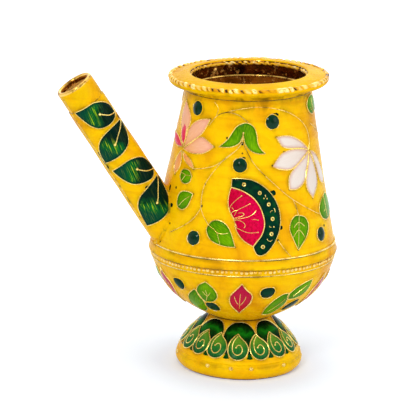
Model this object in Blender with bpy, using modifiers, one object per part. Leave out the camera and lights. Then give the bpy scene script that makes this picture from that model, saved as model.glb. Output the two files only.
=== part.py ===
"""Spouted water pot of spun brass, enamelled yellow, with raised lotus and leaf cells.

Metres, +Z up. The pot stands on z = 0 and its spout leans towards -X. The origin lies under the middle
of the whole pot, spout included, so the turned body's own axis stands at x = AXIS_X.
"""
import math

import bmesh
import bpy
from mathutils import Matrix, Vector

# Air between pieces that touch, and the number of flats round a turned piece
GAP = 0.0003
SEGMENTS = 40
SPOUT_SEGMENTS = 24

# Foot: the roll that stands on the ground, and the flared shell above it
FOOT_RADIUS = 0.0306
FOOT_ROLL = 0.0020
FOOT_ROLL_HEIGHT = 0.0081
FOOT_ROLL_WIDTH = 0.0042
FOOT_HEIGHT = 0.0264
FOOT_NECK_RADIUS = 0.0139
FOOT_TOP_HOLE_RADIUS = 0.0080

# Body: bowl below the waist, tapering wall above it
WALL = 0.0015
BOWL_HEIGHT = 0.0317
BOWL_SEAT_STEP = 0.0019
WAIST_RADIUS = 0.0462
BODY_HEIGHT = 0.0758
NECK_RADIUS = 0.0316
BODY_HOLLOW = 0.0005

# Waist: two wires, a beaded wire and a ridge band over the seam
WIRE_RADIUS = 0.00045
WAIST_BEAD_RADIUS = 0.0006
WAIST_BEADS = 90
BAND_HEIGHT = 0.0042
BAND_THICKNESS = 0.0010

# Rim: flange that overhangs the neck, its sleeve inside the neck and its beaded edge
RIM_HEIGHT = 0.0082
RIM_OVERHANG = 0.0080
RIM_SLEEVE_DEPTH = 0.0060
RIM_SLEEVE_WALL = 0.0010
RIM_BEAD_RADIUS = 0.0010
RIM_BEADS = 60

# Spout: straight tube, leaning out of the wall
SPOUT_RISE = 0.0134
SPOUT_LENGTH = 0.0801
SPOUT_TILT = math.radians(34.1)
SPOUT_MOUTH_RADIUS = 0.0094
SPOUT_STEP = 0.0004
SPOUT_STEP_DEPTH = 0.0107
SPOUT_ROOT_RADIUS = 0.0103
SPOUT_WALL = 0.0015
SPOUT_LIP_RADIUS = 0.00105
SEAM_THICKNESS = 0.0009
SEAM_HEIGHT = 0.0017

# Enamel cells and stones that stand on the skin
CELL_THICKNESS = 0.0006
STONE_THICKNESS = 0.0013

# Colours of the enamels and the bare metal, linear
YELLOW = (0.90, 0.50, 0.008)
GOLD = (0.86, 0.55, 0.16)
LEAF_GREEN = (0.13, 0.38, 0.008)
DARK_GREEN = (0.004, 0.065, 0.035)
PINK = (0.75, 0.012, 0.11)
RUBY = (0.58, 0.012, 0.06)
PEACH = (0.90, 0.50, 0.30)
WHITE = (0.90, 0.80, 0.78)

# Heights that follow from the sizes above
BOWL_BASE_Z = FOOT_HEIGHT + GAP
LOWER_WIRE_Z = BOWL_BASE_Z + BOWL_HEIGHT
WAIST_BEAD_Z = LOWER_WIRE_Z + WIRE_RADIUS + GAP + WAIST_BEAD_RADIUS
BAND_BASE_Z = WAIST_BEAD_Z + WAIST_BEAD_RADIUS + GAP
BAND_TOP_Z = BAND_BASE_Z + BAND_HEIGHT
SEAM_Z = (BAND_BASE_Z + BAND_TOP_Z) / 2
UPPER_WIRE_Z = BAND_TOP_Z + GAP + WIRE_RADIUS
NECK_Z = UPPER_WIRE_Z + BODY_HEIGHT
RIM_BASE_Z = NECK_Z + GAP
TOP_Z = RIM_BASE_Z + RIM_HEIGHT
BAND_RADIUS = WAIST_RADIUS + GAP + BAND_THICKNESS
BEAD_RADIUS = WAIST_RADIUS + GAP + 2 * WAIST_BEAD_RADIUS
WAIST_REACH = max(BAND_RADIUS, BEAD_RADIUS)


def wall_radius(height):
    """Outer radius of the tapering wall, drawn in a little between the waist and the neck."""
    share = (height - UPPER_WIRE_Z) / BODY_HEIGHT
    straight = WAIST_RADIUS + (NECK_RADIUS - WAIST_RADIUS) * share
    return straight - 4 * BODY_HOLLOW * share * (1 - share)


SPOUT_ROOT_Z = UPPER_WIRE_Z + SPOUT_RISE
SPOUT_REACH = wall_radius(SPOUT_ROOT_Z) + SPOUT_LENGTH * math.sin(SPOUT_TILT)
SPOUT_MOUTH_Z = SPOUT_ROOT_Z + SPOUT_LENGTH * math.cos(SPOUT_TILT)
SPOUT_LIP_REACH = (SPOUT_MOUTH_RADIUS - SPOUT_LIP_RADIUS) * math.cos(SPOUT_TILT) + SPOUT_LIP_RADIUS
AXIS_X = (SPOUT_REACH + SPOUT_LIP_REACH - WAIST_REACH) / 2
POT = Matrix.Translation((AXIS_X, 0, 0))
SPOUT = Matrix.Translation((AXIS_X - SPOUT_REACH, 0, SPOUT_MOUTH_Z)) @ Matrix.Rotation(-SPOUT_TILT, 4, "Y")


def start():
    """Empty the scene and return the collections for the parts and for the cutters."""
    for old in list(bpy.data.objects):
        bpy.data.objects.remove(old)
    groups = []
    for title in ("Ewer", "Cutters"):
        group = bpy.data.collections.new(title)
        bpy.context.scene.collection.children.link(group)
        groups.append(group)
    return groups


PARTS, CUTTERS = start()


def enamel(name, colour):
    """Glossy vitreous enamel over brass."""
    return principled(name, colour, 0.22, 0.0)


def metal(name, colour):
    """Bare gilt brass."""
    return principled(name, colour, 0.25, 1.0)


def principled(name, colour, roughness, metallic):
    material = bpy.data.materials.new(name)
    material.use_nodes = True
    shader = material.node_tree.nodes["Principled BSDF"]
    shader.inputs["Base Color"].default_value = (*colour, 1.0)
    shader.inputs["Roughness"].default_value = roughness
    shader.inputs["Metallic"].default_value = metallic
    return material


def add_part(name, data, material, place=POT):
    part = bpy.data.objects.new(name, data)
    part.data.materials.append(material)
    part.matrix_world = place
    PARTS.objects.link(part)
    return part


def add_cutter(name, data, place=POT):
    cutter = bpy.data.objects.new(name, data)
    cutter.matrix_world = place
    cutter.display_type = "WIRE"
    cutter.hide_render = True
    CUTTERS.objects.link(cutter)
    return cutter


def bezier(start_point, start_pull, end_pull, end_point, steps):
    """Points of a cubic curve in (radius, height), both ends included."""
    corners = [Vector(p) for p in (start_point, start_pull, end_pull, end_point)]
    points = []
    for k in range(steps + 1):
        t = k / steps
        weights = ((1 - t) ** 3, 3 * t * (1 - t) ** 2, 3 * t * t * (1 - t), t ** 3)
        points.append(sum((c * w for c, w in zip(corners, weights)), Vector((0, 0))))
    return points


def normals(line):
    """Unit directions to the left of a (radius, height) line, averaged at its corners."""
    sides = []
    for a, b in zip(line, line[1:]):
        run = Vector(b) - Vector(a)
        sides.append(Vector((-run.y, run.x)).normalized())
    ends = [sides[0]] + [(a + b).normalized() for a, b in zip(sides, sides[1:])] + [sides[-1]]
    return ends


def inset(line, depth):
    """The same line moved to its right, which is inwards for a line that runs down an outer side."""
    return [Vector(p) - n * depth for p, n in zip(line, normals(line))]


def profile_mesh(name, outline, closed):
    mesh = bpy.data.meshes.new(name)
    bm = bmesh.new()
    verts = [bm.verts.new((r, 0, z)) for r, z in outline]
    for a, b in zip(verts, verts[1:]):
        bm.edges.new((a, b))
    if closed:
        bm.edges.new((verts[-1], verts[0]))
    bm.to_mesh(mesh)
    bm.free()
    return mesh


def turn(obj, segments):
    """Sweep a (radius, height) profile round its axis."""
    screw = obj.modifiers.new("Turn", "SCREW")
    screw.steps = segments
    screw.render_steps = segments
    screw.use_merge_vertices = True
    screw.merge_threshold = 0.00001
    return obj


def turned(name, outline, material, closed=True, segments=SEGMENTS, place=POT):
    return turn(add_part(name, profile_mesh(name, outline, closed), material, place), segments)


def turned_cutter(name, outline, segments=SEGMENTS, place=POT):
    return turn(add_cutter(name, profile_mesh(name, outline, False), place), segments)


def boolean(obj, cutter, operation):
    step = obj.modifiers.new(operation.title(), "BOOLEAN")
    step.operation = operation
    step.solver = "EXACT"
    step.object = cutter


def ring_wire(name, radius, height, thickness, material, points, bead_neck=1.0, place=POT):
    """A closed ring of round wire; a bead_neck below 1 draws every second point in, like beads."""
    curve = bpy.data.curves.new(name, "CURVE")
    curve.dimensions = "3D"
    curve.twist_mode = "Z_UP"
    curve.bevel_depth = thickness
    curve.bevel_resolution = 1 if bead_neck == 1.0 else 0
    spline = curve.splines.new("POLY")
    spline.points.add(points - 1)
    spline.use_cyclic_u = True
    for k, point in enumerate(spline.points):
        angle = math.tau * k / points
        point.co = (radius * math.cos(angle), radius * math.sin(angle), height, 1)
        point.radius = 1.0 if k % 2 == 0 else bead_neck
    return add_part(name, curve, material, place)


# Foot roll: a heavy turned ring, flat underneath
roll_side = bezier(
    (FOOT_RADIUS, FOOT_ROLL_HEIGHT),
    (FOOT_RADIUS + 0.90 * FOOT_ROLL, 0.90 * FOOT_ROLL_HEIGHT),
    (FOOT_RADIUS + 1.03 * FOOT_ROLL, 0.22 * FOOT_ROLL_HEIGHT),
    (FOOT_RADIUS - 0.60 * FOOT_ROLL, 0),
    6,
)
roll_inner = FOOT_RADIUS - FOOT_ROLL_WIDTH
roll_outline = roll_side + [(roll_inner, 0), (roll_inner, FOOT_ROLL_HEIGHT)]
turned("foot_ring", roll_outline, enamel("foot_ring", YELLOW))

# Foot shell: flares from the neck under the bowl down to the roll, open underneath
foot_base_z = FOOT_ROLL_HEIGHT + GAP
foot_spread = FOOT_RADIUS - FOOT_NECK_RADIUS
foot_drop = FOOT_HEIGHT - foot_base_z
foot_side = bezier(
    (FOOT_NECK_RADIUS, FOOT_HEIGHT),
    (FOOT_NECK_RADIUS + 0.23 * foot_spread, FOOT_HEIGHT - 0.11 * foot_drop),
    (FOOT_NECK_RADIUS + 0.88 * foot_spread, FOOT_HEIGHT - 0.71 * foot_drop),
    (FOOT_RADIUS, foot_base_z),
    6,
)
foot_inside = inset(foot_side, WALL)
foot_inside[0] = Vector((FOOT_NECK_RADIUS - WALL, FOOT_HEIGHT - WALL))
foot_inside[-1] = Vector((FOOT_RADIUS - WALL, foot_base_z))
foot_top = [(FOOT_TOP_HOLE_RADIUS, FOOT_HEIGHT - WALL), (FOOT_TOP_HOLE_RADIUS, FOOT_HEIGHT)]
turned("foot_shell", foot_side + foot_inside[::-1] + foot_top, enamel("foot_shell", DARK_GREEN))

# Bowl: spun cup with a flat seat on the foot; its straight edge stands up inside the waist band
seat_radius = FOOT_NECK_RADIUS + BOWL_SEAT_STEP
bowl_draw = WAIST_RADIUS - seat_radius
bowl_side = bezier(
    (WAIST_RADIUS, LOWER_WIRE_Z),
    (WAIST_RADIUS - 0.17 * bowl_draw, LOWER_WIRE_Z - 0.58 * BOWL_HEIGHT),
    (WAIST_RADIUS - 0.55 * bowl_draw, LOWER_WIRE_Z - 0.79 * BOWL_HEIGHT),
    (seat_radius, BOWL_BASE_Z),
    7,
)
bowl_inside = inset(bowl_side, WALL)
bowl_inside[0] = Vector((WAIST_RADIUS - WALL, LOWER_WIRE_Z))
bowl_inside[-1] = Vector((seat_radius, BOWL_BASE_Z + WALL))
bowl_edge_z = SEAM_Z - GAP / 2
bowl_outline = (
    [(0, BOWL_BASE_Z + WALL)] + bowl_inside[::-1]
    + [(WAIST_RADIUS - WALL, bowl_edge_z), (WAIST_RADIUS, bowl_edge_z)]
    + bowl_side + [(0, BOWL_BASE_Z)]
)
turned("bowl", bowl_outline, enamel("bowl", YELLOW), closed=False)

# Upper body: tapering wall from the seam to the neck
body_edge_z = SEAM_Z + GAP / 2
WALL_STEPS = 3
wall_heights = [NECK_Z - BODY_HEIGHT * k / WALL_STEPS for k in range(WALL_STEPS + 1)]
wall_side = [Vector((wall_radius(z), z)) for z in wall_heights]
wall_inside = [Vector((r - WALL, z)) for r, z in wall_side]
body_outline = (
    wall_side + [(WAIST_RADIUS, body_edge_z), (WAIST_RADIUS - WALL, body_edge_z)] + wall_inside[::-1]
)
upper_body = turned("upper_body", body_outline, enamel("upper_body", YELLOW))

# Waist: ridge band over the seam, beads below it, a wire along each edge
band_inner = WAIST_RADIUS + GAP
band_outline = [
    (band_inner + 0.3 * BAND_THICKNESS, BAND_TOP_Z),
    (band_inner + 0.6 * BAND_THICKNESS, BAND_TOP_Z - 0.35 * BAND_HEIGHT),
    (BAND_RADIUS, BAND_BASE_Z + 0.15 * BAND_HEIGHT),
    (BAND_RADIUS, BAND_BASE_Z),
    (band_inner, BAND_BASE_Z),
    (band_inner, BAND_TOP_Z),
]
turned("waist_band", band_outline, enamel("waist_band", YELLOW))
wire_ring = WAIST_RADIUS + GAP + WIRE_RADIUS
bead_ring = WAIST_RADIUS + GAP + WAIST_BEAD_RADIUS
ring_wire("waist_upper_wire", wire_ring, UPPER_WIRE_Z, WIRE_RADIUS, metal("waist_upper_wire", GOLD), SEGMENTS)
ring_wire("waist_lower_wire", wire_ring, LOWER_WIRE_Z, WIRE_RADIUS, metal("waist_lower_wire", GOLD), SEGMENTS)
ring_wire(
    "waist_bead_wire", bead_ring, WAIST_BEAD_Z, WAIST_BEAD_RADIUS, metal("waist_bead_wire", GOLD),
    2 * WAIST_BEADS, 0.55,
)

# Rim: flange turned out over the neck, with a rebate for the beads and a sleeve down inside the neck
sleeve_outer = NECK_RADIUS - WALL - GAP
mouth_radius = sleeve_outer - RIM_SLEEVE_WALL
rim_radius = NECK_RADIUS + RIM_OVERHANG
rebate_radius = rim_radius - 2 * RIM_BEAD_RADIUS
rebate_z = TOP_Z - 0.40 * RIM_HEIGHT
rim_cove = bezier(
    (rim_radius - 0.05 * RIM_OVERHANG, RIM_BASE_Z + 0.48 * RIM_HEIGHT),
    (NECK_RADIUS + 0.30 * RIM_OVERHANG, RIM_BASE_Z + 0.42 * RIM_HEIGHT),
    (NECK_RADIUS + 0.06 * RIM_OVERHANG, RIM_BASE_Z + 0.25 * RIM_HEIGHT),
    (NECK_RADIUS + 0.06 * RIM_OVERHANG, RIM_BASE_Z),
    4,
)
lip_round = 0.6 * RIM_SLEEVE_WALL
rim_outline = [
    (mouth_radius + lip_round, TOP_Z),
    (mouth_radius + 2 * lip_round, TOP_Z),
    (rebate_radius, rebate_z + RIM_BEAD_RADIUS),
    (rebate_radius, rebate_z),
    (rim_radius, rebate_z),
    *rim_cove,
    (sleeve_outer, RIM_BASE_Z),
    (sleeve_outer, NECK_Z - RIM_SLEEVE_DEPTH),
    (mouth_radius, NECK_Z - RIM_SLEEVE_DEPTH),
    (mouth_radius, TOP_Z - lip_round),
]
turned("rim_flange", rim_outline, enamel("rim_flange", YELLOW))
rim_bead_ring = rebate_radius + GAP + RIM_BEAD_RADIUS
rim_bead_z = rebate_z + GAP + RIM_BEAD_RADIUS
ring_wire(
    "rim_bead_wire", rim_bead_ring, rim_bead_z, RIM_BEAD_RADIUS, metal("rim_bead_wire", GOLD),
    2 * RIM_BEADS, 0.6,
)

# Spout: heights along it count down from its mouth, which is at 0
spout_overrun = 3 * SPOUT_ROOT_RADIUS
spout_end = -(SPOUT_LENGTH + spout_overrun)
spout_start = -2 * SPOUT_LIP_RADIUS - GAP
bore_radius = SPOUT_MOUTH_RADIUS - SPOUT_WALL
step_radius = SPOUT_MOUTH_RADIUS + SPOUT_STEP
spout_side = [(step_radius, -SPOUT_STEP_DEPTH - SPOUT_STEP), (SPOUT_ROOT_RADIUS, spout_end)]
spout_outline = [
    (SPOUT_MOUTH_RADIUS, spout_start),
    (SPOUT_MOUTH_RADIUS, -SPOUT_STEP_DEPTH),
    *spout_side,
    (bore_radius, spout_end),
    (bore_radius, spout_start),
]
spout_tube = turned(
    "spout_tube", spout_outline, enamel("spout_tube", YELLOW), segments=SPOUT_SEGMENTS, place=SPOUT
)
ring_wire(
    "spout_lip", SPOUT_MOUTH_RADIUS - SPOUT_LIP_RADIUS, -SPOUT_LIP_RADIUS, SPOUT_LIP_RADIUS,
    metal("spout_lip", GOLD), SPOUT_SEGMENTS, place=SPOUT,
)


def body_block(name, clear):
    """Solid block of the pot's outside, waist wires and band included, grown by a clearance."""
    wire_top_z = UPPER_WIRE_Z + WIRE_RADIUS + clear
    wall = [(r + clear, z) for r, z in wall_side[:-1]]
    outline = [
        (0, NECK_Z),
        *wall,
        (wall_radius(wire_top_z) + clear, wire_top_z),
        (WAIST_REACH + clear, wire_top_z),
        (WAIST_REACH + clear, BOWL_BASE_Z),
        (0, BOWL_BASE_Z),
    ]
    return turned_cutter(name, outline)


# The tube stops short of the wall all round, and its bore goes on through the wall
keep_clear = body_block("spout_mitre", GAP)
boolean(spout_tube, keep_clear, "DIFFERENCE")
half_way = -SPOUT_LENGTH / 2
bore_outline = [(0, half_way), (bore_radius, half_way), (bore_radius, spout_end), (0, spout_end)]
boolean(upper_body, turned_cutter("spout_bore", bore_outline, SPOUT_SEGMENTS, SPOUT), "DIFFERENCE")

# Solder seam: a sleeve round the tube, kept only where it lies close along the wall
seam_inner = SPOUT_ROOT_RADIUS + GAP
seam_outer = seam_inner + SEAM_THICKNESS
seam_outline = [
    (seam_outer, half_way), (seam_outer, spout_end), (seam_inner, spout_end), (seam_inner, half_way),
]
spout_seam = turned(
    "spout_seam", seam_outline, enamel("spout_seam", YELLOW), segments=SPOUT_SEGMENTS, place=SPOUT
)
boolean(spout_seam, body_block("seam_reach", GAP + SEAM_HEIGHT), "INTERSECT")
boolean(spout_seam, keep_clear, "DIFFERENCE")


def leaf(base, tip, width, blunt=0.5, sharp=0.9):
    """Outline of a leaf from stalk to point; blunt and sharp say how full its two ends are."""
    base = Vector(base)
    along = Vector(tip) - base
    side = Vector((-along.y, along.x)).normalized()
    widest = blunt / (blunt + sharp)
    fullest = widest ** blunt * (1 - widest) ** sharp
    right = []
    left = []
    for share in (0.05, 0.16, 0.33, 0.55, 0.78):
        half = width / 2 * share ** blunt * (1 - share) ** sharp / fullest
        right.append(base + along * share - side * half)
        left.append(base + along * share + side * half)
    return [base, *right, base + along, *left[::-1]]


def polar(degrees, reach):
    return Vector((math.cos(math.radians(degrees)), math.sin(math.radians(degrees)))) * reach


def flower(petals):
    """Outline of a flower round its heart; a petal is its direction in degrees, length and width."""
    outline = []
    for k, (direction, length, width) in enumerate(petals):
        along = polar(direction, length)
        across = polar(direction + 90, width)
        for share, half in ((0.55, -0.5), (0.8, -0.36), (1.0, 0.0), (0.8, 0.36), (0.55, 0.5)):
            outline.append(along * share + across * half)
        turn_to_next = (petals[(k + 1) % len(petals)][0] - direction) % 360
        cleft = 0.4 * width / math.sin(math.radians(turn_to_next / 2))
        outline.append(polar(direction + turn_to_next / 2, cleft))
    return outline


def arc(centre, radius, start_degrees, end_degrees, steps):
    sweep = (end_degrees - start_degrees) / steps
    return [Vector(centre) + polar(start_degrees + sweep * k, radius) for k in range(steps + 1)]


def skin_at(skin, share):
    """Point on a skin's (radius, height) line and its outward direction, share in percent of its length."""
    runs = [(Vector(b) - Vector(a)).length for a, b in zip(skin, skin[1:])]
    outward = [-n for n in normals(skin)]
    left = share / 100 * sum(runs)
    for k, run in enumerate(runs):
        if left <= run or k == len(runs) - 1:
            t = left / run
            point = Vector(skin[k]).lerp(Vector(skin[k + 1]), t)
            return point, outward[k].lerp(outward[k + 1], t).normalized()
        left -= run


def skin_corners(skin):
    """Shares, in percent, at which a skin's line bends."""
    runs = [(Vector(b) - Vector(a)).length for a, b in zip(skin, skin[1:])]
    return [100 * sum(runs[:k]) / sum(runs) for k in range(1, len(runs))]


def cell(
    name, outline, skin, degrees, share, unit_turn, colour,
    thickness=CELL_THICKNESS, strip_turn=360 / SEGMENTS, place=POT,
):
    """An enamel cell: a flat outline, sliced into strips and laid on a turned skin.

    The outline is drawn about its own middle, in percent of the skin's length; unit_turn is the angle
    in degrees that one such unit takes across. The middle lies at degrees round the axis and at share.
    """
    curve = bpy.data.curves.new(name, "CURVE")
    curve.dimensions = "2D"
    curve.fill_mode = "BOTH"
    curve.extrude = 0.5
    spline = curve.splines.new("POLY")
    spline.points.add(len(outline) - 1)
    spline.use_cyclic_u = True
    for point, (across, up) in zip(spline.points, outline):
        point.co = (across, up, 0, 1)
    flat = bpy.data.objects.new(name, curve)
    PARTS.objects.link(flat)
    bpy.context.view_layer.update()
    mesh = bpy.data.meshes.new_from_object(flat.evaluated_get(bpy.context.evaluated_depsgraph_get()))
    bpy.data.objects.remove(flat)
    bpy.data.curves.remove(curve)
    bm = bmesh.new()
    bm.from_mesh(mesh)
    bmesh.ops.remove_doubles(bm, verts=bm.verts, dist=0.0001)
    bmesh.ops.recalc_face_normals(bm, faces=bm.faces)
    bmesh.ops.dissolve_limit(bm, angle_limit=0.001, edges=bm.edges, delimit=set())
    strip = strip_turn / unit_turn
    widest = max(abs(p[0]) for p in outline)
    cuts = [(strip * k, 0, 0) for k in range(-int(widest / strip), int(widest / strip) + 1)]
    cuts += [(0, corner - share, 0) for corner in skin_corners(skin)]
    for cut in cuts:
        direction = (0, 1, 0) if cut[1] else (1, 0, 0)
        geometry = [*bm.verts, *bm.edges, *bm.faces]
        bmesh.ops.bisect_plane(bm, geom=geometry, dist=0.0001, plane_co=cut, plane_no=direction)
    bmesh.ops.triangulate(bm, faces=bm.faces)
    for vert in bm.verts:
        across, up, level = vert.co
        point, outward = skin_at(skin, share + up)
        radius, height = point + outward * (GAP + thickness * (level + 0.5))
        angle = math.radians(degrees + across * unit_turn)
        vert.co = (radius * math.cos(angle), radius * math.sin(angle), height)
    bm.to_mesh(mesh)
    bm.free()
    add_part(name, mesh, enamel(name, colour), place)


# Wall pattern, drawn on the unrolled wall: angles count from the middle of the front
WALL_SKIN = wall_side[::-1]
FRONT = -106
SIDES = (("front", FRONT), ("back", FRONT + 180))


def on_wall(name, outline, degrees, share, colour, thickness=CELL_THICKNESS):
    """The same cell on the front and the back; a unit takes more turn where the wall is narrow."""
    unit_turn = 0.96 + 0.40 * share / 100
    for side, middle in SIDES:
        cell(f"{name}_{side}", outline, WALL_SKIN, middle + degrees, share, unit_turn, colour, thickness)


pink_petals = (
    (10, 28.6, 9.4), (47, 30.4, 10.0), (104, 30.4, 11.0), (160, 30.4, 10.0), (196, 28.6, 9.4),
    (260, 18.2, 6.5), (325, 17.7, 6.5),
)
white_petals = ((158, 29.3, 9.4), (192, 31.6, 9.4), (227, 30.2, 9.4), (268, 30.0, 9.6), (304, 28.0, 8.8))
on_wall("lotus_pink", flower(pink_petals), -60, 64.6, PEACH)
on_wall("lotus_white", flower(white_petals), 56.3, 66.2, WHITE)
on_wall("twin_leaf", flower(((219, 18.9, 9.0), (313, 20.4, 9.0))), -4, 82.5, LEAF_GREEN)

# Crescent rind and the half flower that it shelters
fan_centre = (0.9, -0.8)
rind = arc(fan_centre, 27.8, 98, -54, 10) + arc(fan_centre, 19.6, -54, 98, 8)
heart_back = [(10.0, -15.4), (4.0, -10.7), (0.7, -3.9), (0.0, 0.0), (-3.8, 3.6), (-5.2, 9.8)]
heart = arc(fan_centre, 19.0, 98, -52, 8) + heart_back
on_wall("fan_rind", rind, -6.6, 25.1, DARK_GREEN)
on_wall("fan_heart", heart, -6.6, 25.1, PINK)

# Loose leaves: name, angle, share, stalk end, point, width
for title, degrees, share, stalk, point, width in (
    ("leaf_low_left", -16.4, 15.3, (-8.1, 6.0), (10.3, -6.6), 13.8),
    ("leaf_low_right", 37.0, 16.6, (1.2, 10.1), (-1.6, -10.9), 15.0),
    ("leaf_side", -45.0, 33.4, (-5.2, -5.3), (6.0, 4.7), 10.8),
    ("leaf_neck", 71.2, 92.0, (-1.3, -4.9), (2.6, 5.5), 9.0),
    ("leaf_edge", 74.0, 26.8, (-2.5, -8.5), (2.5, 8.5), 11.5),
):
    on_wall(title, leaf(stalk, point, width), degrees, share, LEAF_GREEN)
on_wall("leaf_round", leaf((-5.6, -1.0), (5.6, 1.0), 9.4, 0.5, 0.5), -49.3, 47.8, LEAF_GREEN)

# Round stones
stone = arc((0, 0), 4.1, 0, 330, 11)
for number, (degrees, share) in enumerate(
    ((-48.9, 91.8), (20.2, 86.9), (-5.3, 59.6), (-33.7, 11.1), (58.7, 11.9)), start=1
):
    on_wall(f"stone_{number}", stone, degrees, share, DARK_GREEN, STONE_THICKNESS)

# Ruby leaves round the bowl, spaced by hand
BOWL_SKIN = bowl_side[::-1]
ruby = leaf((0, -28.0), (0, 23.0), 24.0, 0.8, 0.75)
for number, degrees in enumerate((0, 64, 122, 180, 238, 296), start=1):
    cell(f"ruby_leaf_{number}", ruby, BOWL_SKIN, FRONT + degrees, 65.5, 0.65, RUBY)

# Dark leaves, two pairs down each side of the spout: stalk end and point as (degrees round from the
# upper line, percent of the tube up from its root), and width
SPOUT_SKIN = [(SPOUT_ROOT_RADIUS, -SPOUT_LENGTH), (step_radius, -SPOUT_STEP_DEPTH - SPOUT_STEP)]
SPOUT_UNIT_TURN = 3.95
SPOUT_LEAVES = (
    ((42, 83.5), (143, 98.4), 18.0),
    ((36, 74.8), (147, 56.7), 18.0),
    ((22, 33.5), (142, 50.1), 18.0),
    ((36, 27.0), (147, 4.5), 17.4),
)
for side, way in (("front", -1), ("back", 1)):
    for number, (stalk, point, width) in enumerate(SPOUT_LEAVES, start=1):
        half_turn = way * (point[0] - stalk[0]) / 2 / SPOUT_UNIT_TURN
        half_rise = (point[1] - stalk[1]) / 2
        outline = leaf((-half_turn, -half_rise), (half_turn, half_rise), width, 0.65, 0.85)
        degrees = way * (stalk[0] + point[0]) / 2
        share = (stalk[1] + point[1]) / 2
        title = f"spout_leaf_{side}_{number}"
        cell(
            title, outline, SPOUT_SKIN, degrees, share, SPOUT_UNIT_TURN, DARK_GREEN,
            strip_turn=360 / SPOUT_SEGMENTS, place=SPOUT,
        )
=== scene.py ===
import math
import random

import bmesh
import bpy
from mathutils import Matrix, Quaternion, Vector, noise
from mathutils.geometry import intersect_point_line, interpolate_bezier
from mathutils.kdtree import KDTree


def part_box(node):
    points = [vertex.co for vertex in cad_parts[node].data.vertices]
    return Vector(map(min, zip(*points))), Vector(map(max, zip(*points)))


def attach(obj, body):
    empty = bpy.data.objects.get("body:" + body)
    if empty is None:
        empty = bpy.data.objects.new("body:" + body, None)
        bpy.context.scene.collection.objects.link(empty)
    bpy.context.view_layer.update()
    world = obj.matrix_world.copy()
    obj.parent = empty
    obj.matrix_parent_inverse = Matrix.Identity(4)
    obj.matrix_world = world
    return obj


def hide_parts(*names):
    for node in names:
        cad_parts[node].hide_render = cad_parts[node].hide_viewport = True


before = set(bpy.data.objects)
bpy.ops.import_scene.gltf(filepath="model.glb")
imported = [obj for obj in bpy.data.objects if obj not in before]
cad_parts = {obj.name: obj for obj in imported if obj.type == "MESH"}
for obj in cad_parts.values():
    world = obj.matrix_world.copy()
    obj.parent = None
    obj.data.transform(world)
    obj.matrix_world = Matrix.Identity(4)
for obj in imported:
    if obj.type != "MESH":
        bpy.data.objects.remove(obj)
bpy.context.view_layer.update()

# Foot roll: the heavy ring that the pot stands on, turned in brass and enamelled yellow outside.
# It is soldered under the flared shell, and small gilt studs sit in the crease round it.
MM = 0.001
TURN_STEPS = 192
FRONT = -106.0
roll_low, roll_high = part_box("foot_ring")
AXIS_X = (roll_low.x + roll_high.x) / 2
POT = Matrix.Translation((AXIS_X, 0, 0))


def bend(start, start_pull, end_pull, end, steps):
    """Points of a (radius, height) curve given in millimetres, both ends included."""
    corners = [Vector((r, z, 0)) * MM for r, z in (start, start_pull, end_pull, end)]
    return [point.xy for point in interpolate_bezier(*corners, steps + 1)]


def line(*points):
    """Corners of a (radius, height) line given in millimetres."""
    return [Vector(point) * MM for point in points]


WELD = 0.001 * MM


def spun(bm, steps):
    """Spins all that is drawn in the mesh once round the axis, and closes it."""
    bmesh.ops.spin(
        bm, geom=[*bm.verts, *bm.edges], cent=(0, 0, 0), axis=(0, 0, 1), angle=math.tau, steps=steps,
        use_merge=True,
    )
    bmesh.ops.remove_doubles(bm, verts=bm.verts, dist=WELD)
    bmesh.ops.recalc_face_normals(bm, faces=bm.faces)
    return bm


def turned(outline, closed=True, steps=TURN_STEPS):
    """Turns a half outline to a shell or a solid."""
    bm = bmesh.new()
    corners = [bm.verts.new((r, 0, z)) for r, z in outline]
    followers = corners[1:] + corners[:1] if closed else corners[1:]
    for pair in zip(corners, followers):
        bm.edges.new(pair)
    return spun(bm, steps)


WAVER = 0.22 * MM
WAVER_PITCH = 13 * MM


def wavered(point):
    """Hand work is never quite round: moves a point in or out, alike for all that lies on one spot."""
    outward = Vector((point.x, point.y, 0))
    if outward.length < MM:
        return point
    return point + outward.normalized() * WAVER * noise.noise(point / WAVER_PITCH)


def waver(bm):
    """Gives a whole mesh the unevenness of hand work."""
    for vert in bm.verts:
        vert.co = wavered(vert.co)


def add_piece(name, bm, finishes, nodes=(), place=POT, crease=40):
    """Puts a finished mesh in the scene, on the pot's one body, in place of the nodes it stands for."""
    bm.transform(place)
    mesh = bpy.data.meshes.new(name)
    bm.to_mesh(mesh)
    bm.free()
    mesh.polygons.foreach_set("use_smooth", [True] * len(mesh.polygons))
    mesh.set_sharp_from_angle(angle=math.radians(crease))
    for finish in finishes:
        mesh.materials.append(finish)
    piece = bpy.data.objects.new(name, mesh)
    bpy.context.scene.collection.objects.link(piece)
    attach(piece, "root")
    if nodes:
        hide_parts(*nodes)
    return piece


def plug(tree, socket, value):
    """Links an output of another node to a socket, or sets the socket to a plain value."""
    if isinstance(value, bpy.types.NodeSocket):
        tree.links.new(value, socket)
    else:
        socket.default_value = value


def node(tree, kind, inputs=None, **settings):
    """Adds a shader node with its settings and inputs."""
    made = tree.nodes.new(kind)
    for key, value in settings.items():
        setattr(made, key, value)
    for key, value in (inputs or {}).items():
        plug(tree, made.inputs[key], value)
    return made


def ramp(tree, factor, stops):
    """A colour ramp; a stop is its place and its linear colour."""
    made = node(tree, "ShaderNodeValToRGB", {"Fac": factor})
    elements = made.color_ramp.elements
    while len(elements) < len(stops):
        elements.new(0.5)
    for element, (place, colour) in zip(elements, stops):
        element.position = place
        element.color = (*colour, 1.0)
    return made.outputs["Color"]


def blend(tree, factor, under, over):
    """Lays one colour over another by a mask."""
    return node(tree, "ShaderNodeMix", {0: factor, 6: under, 7: over}, data_type="RGBA").outputs[2]


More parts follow.
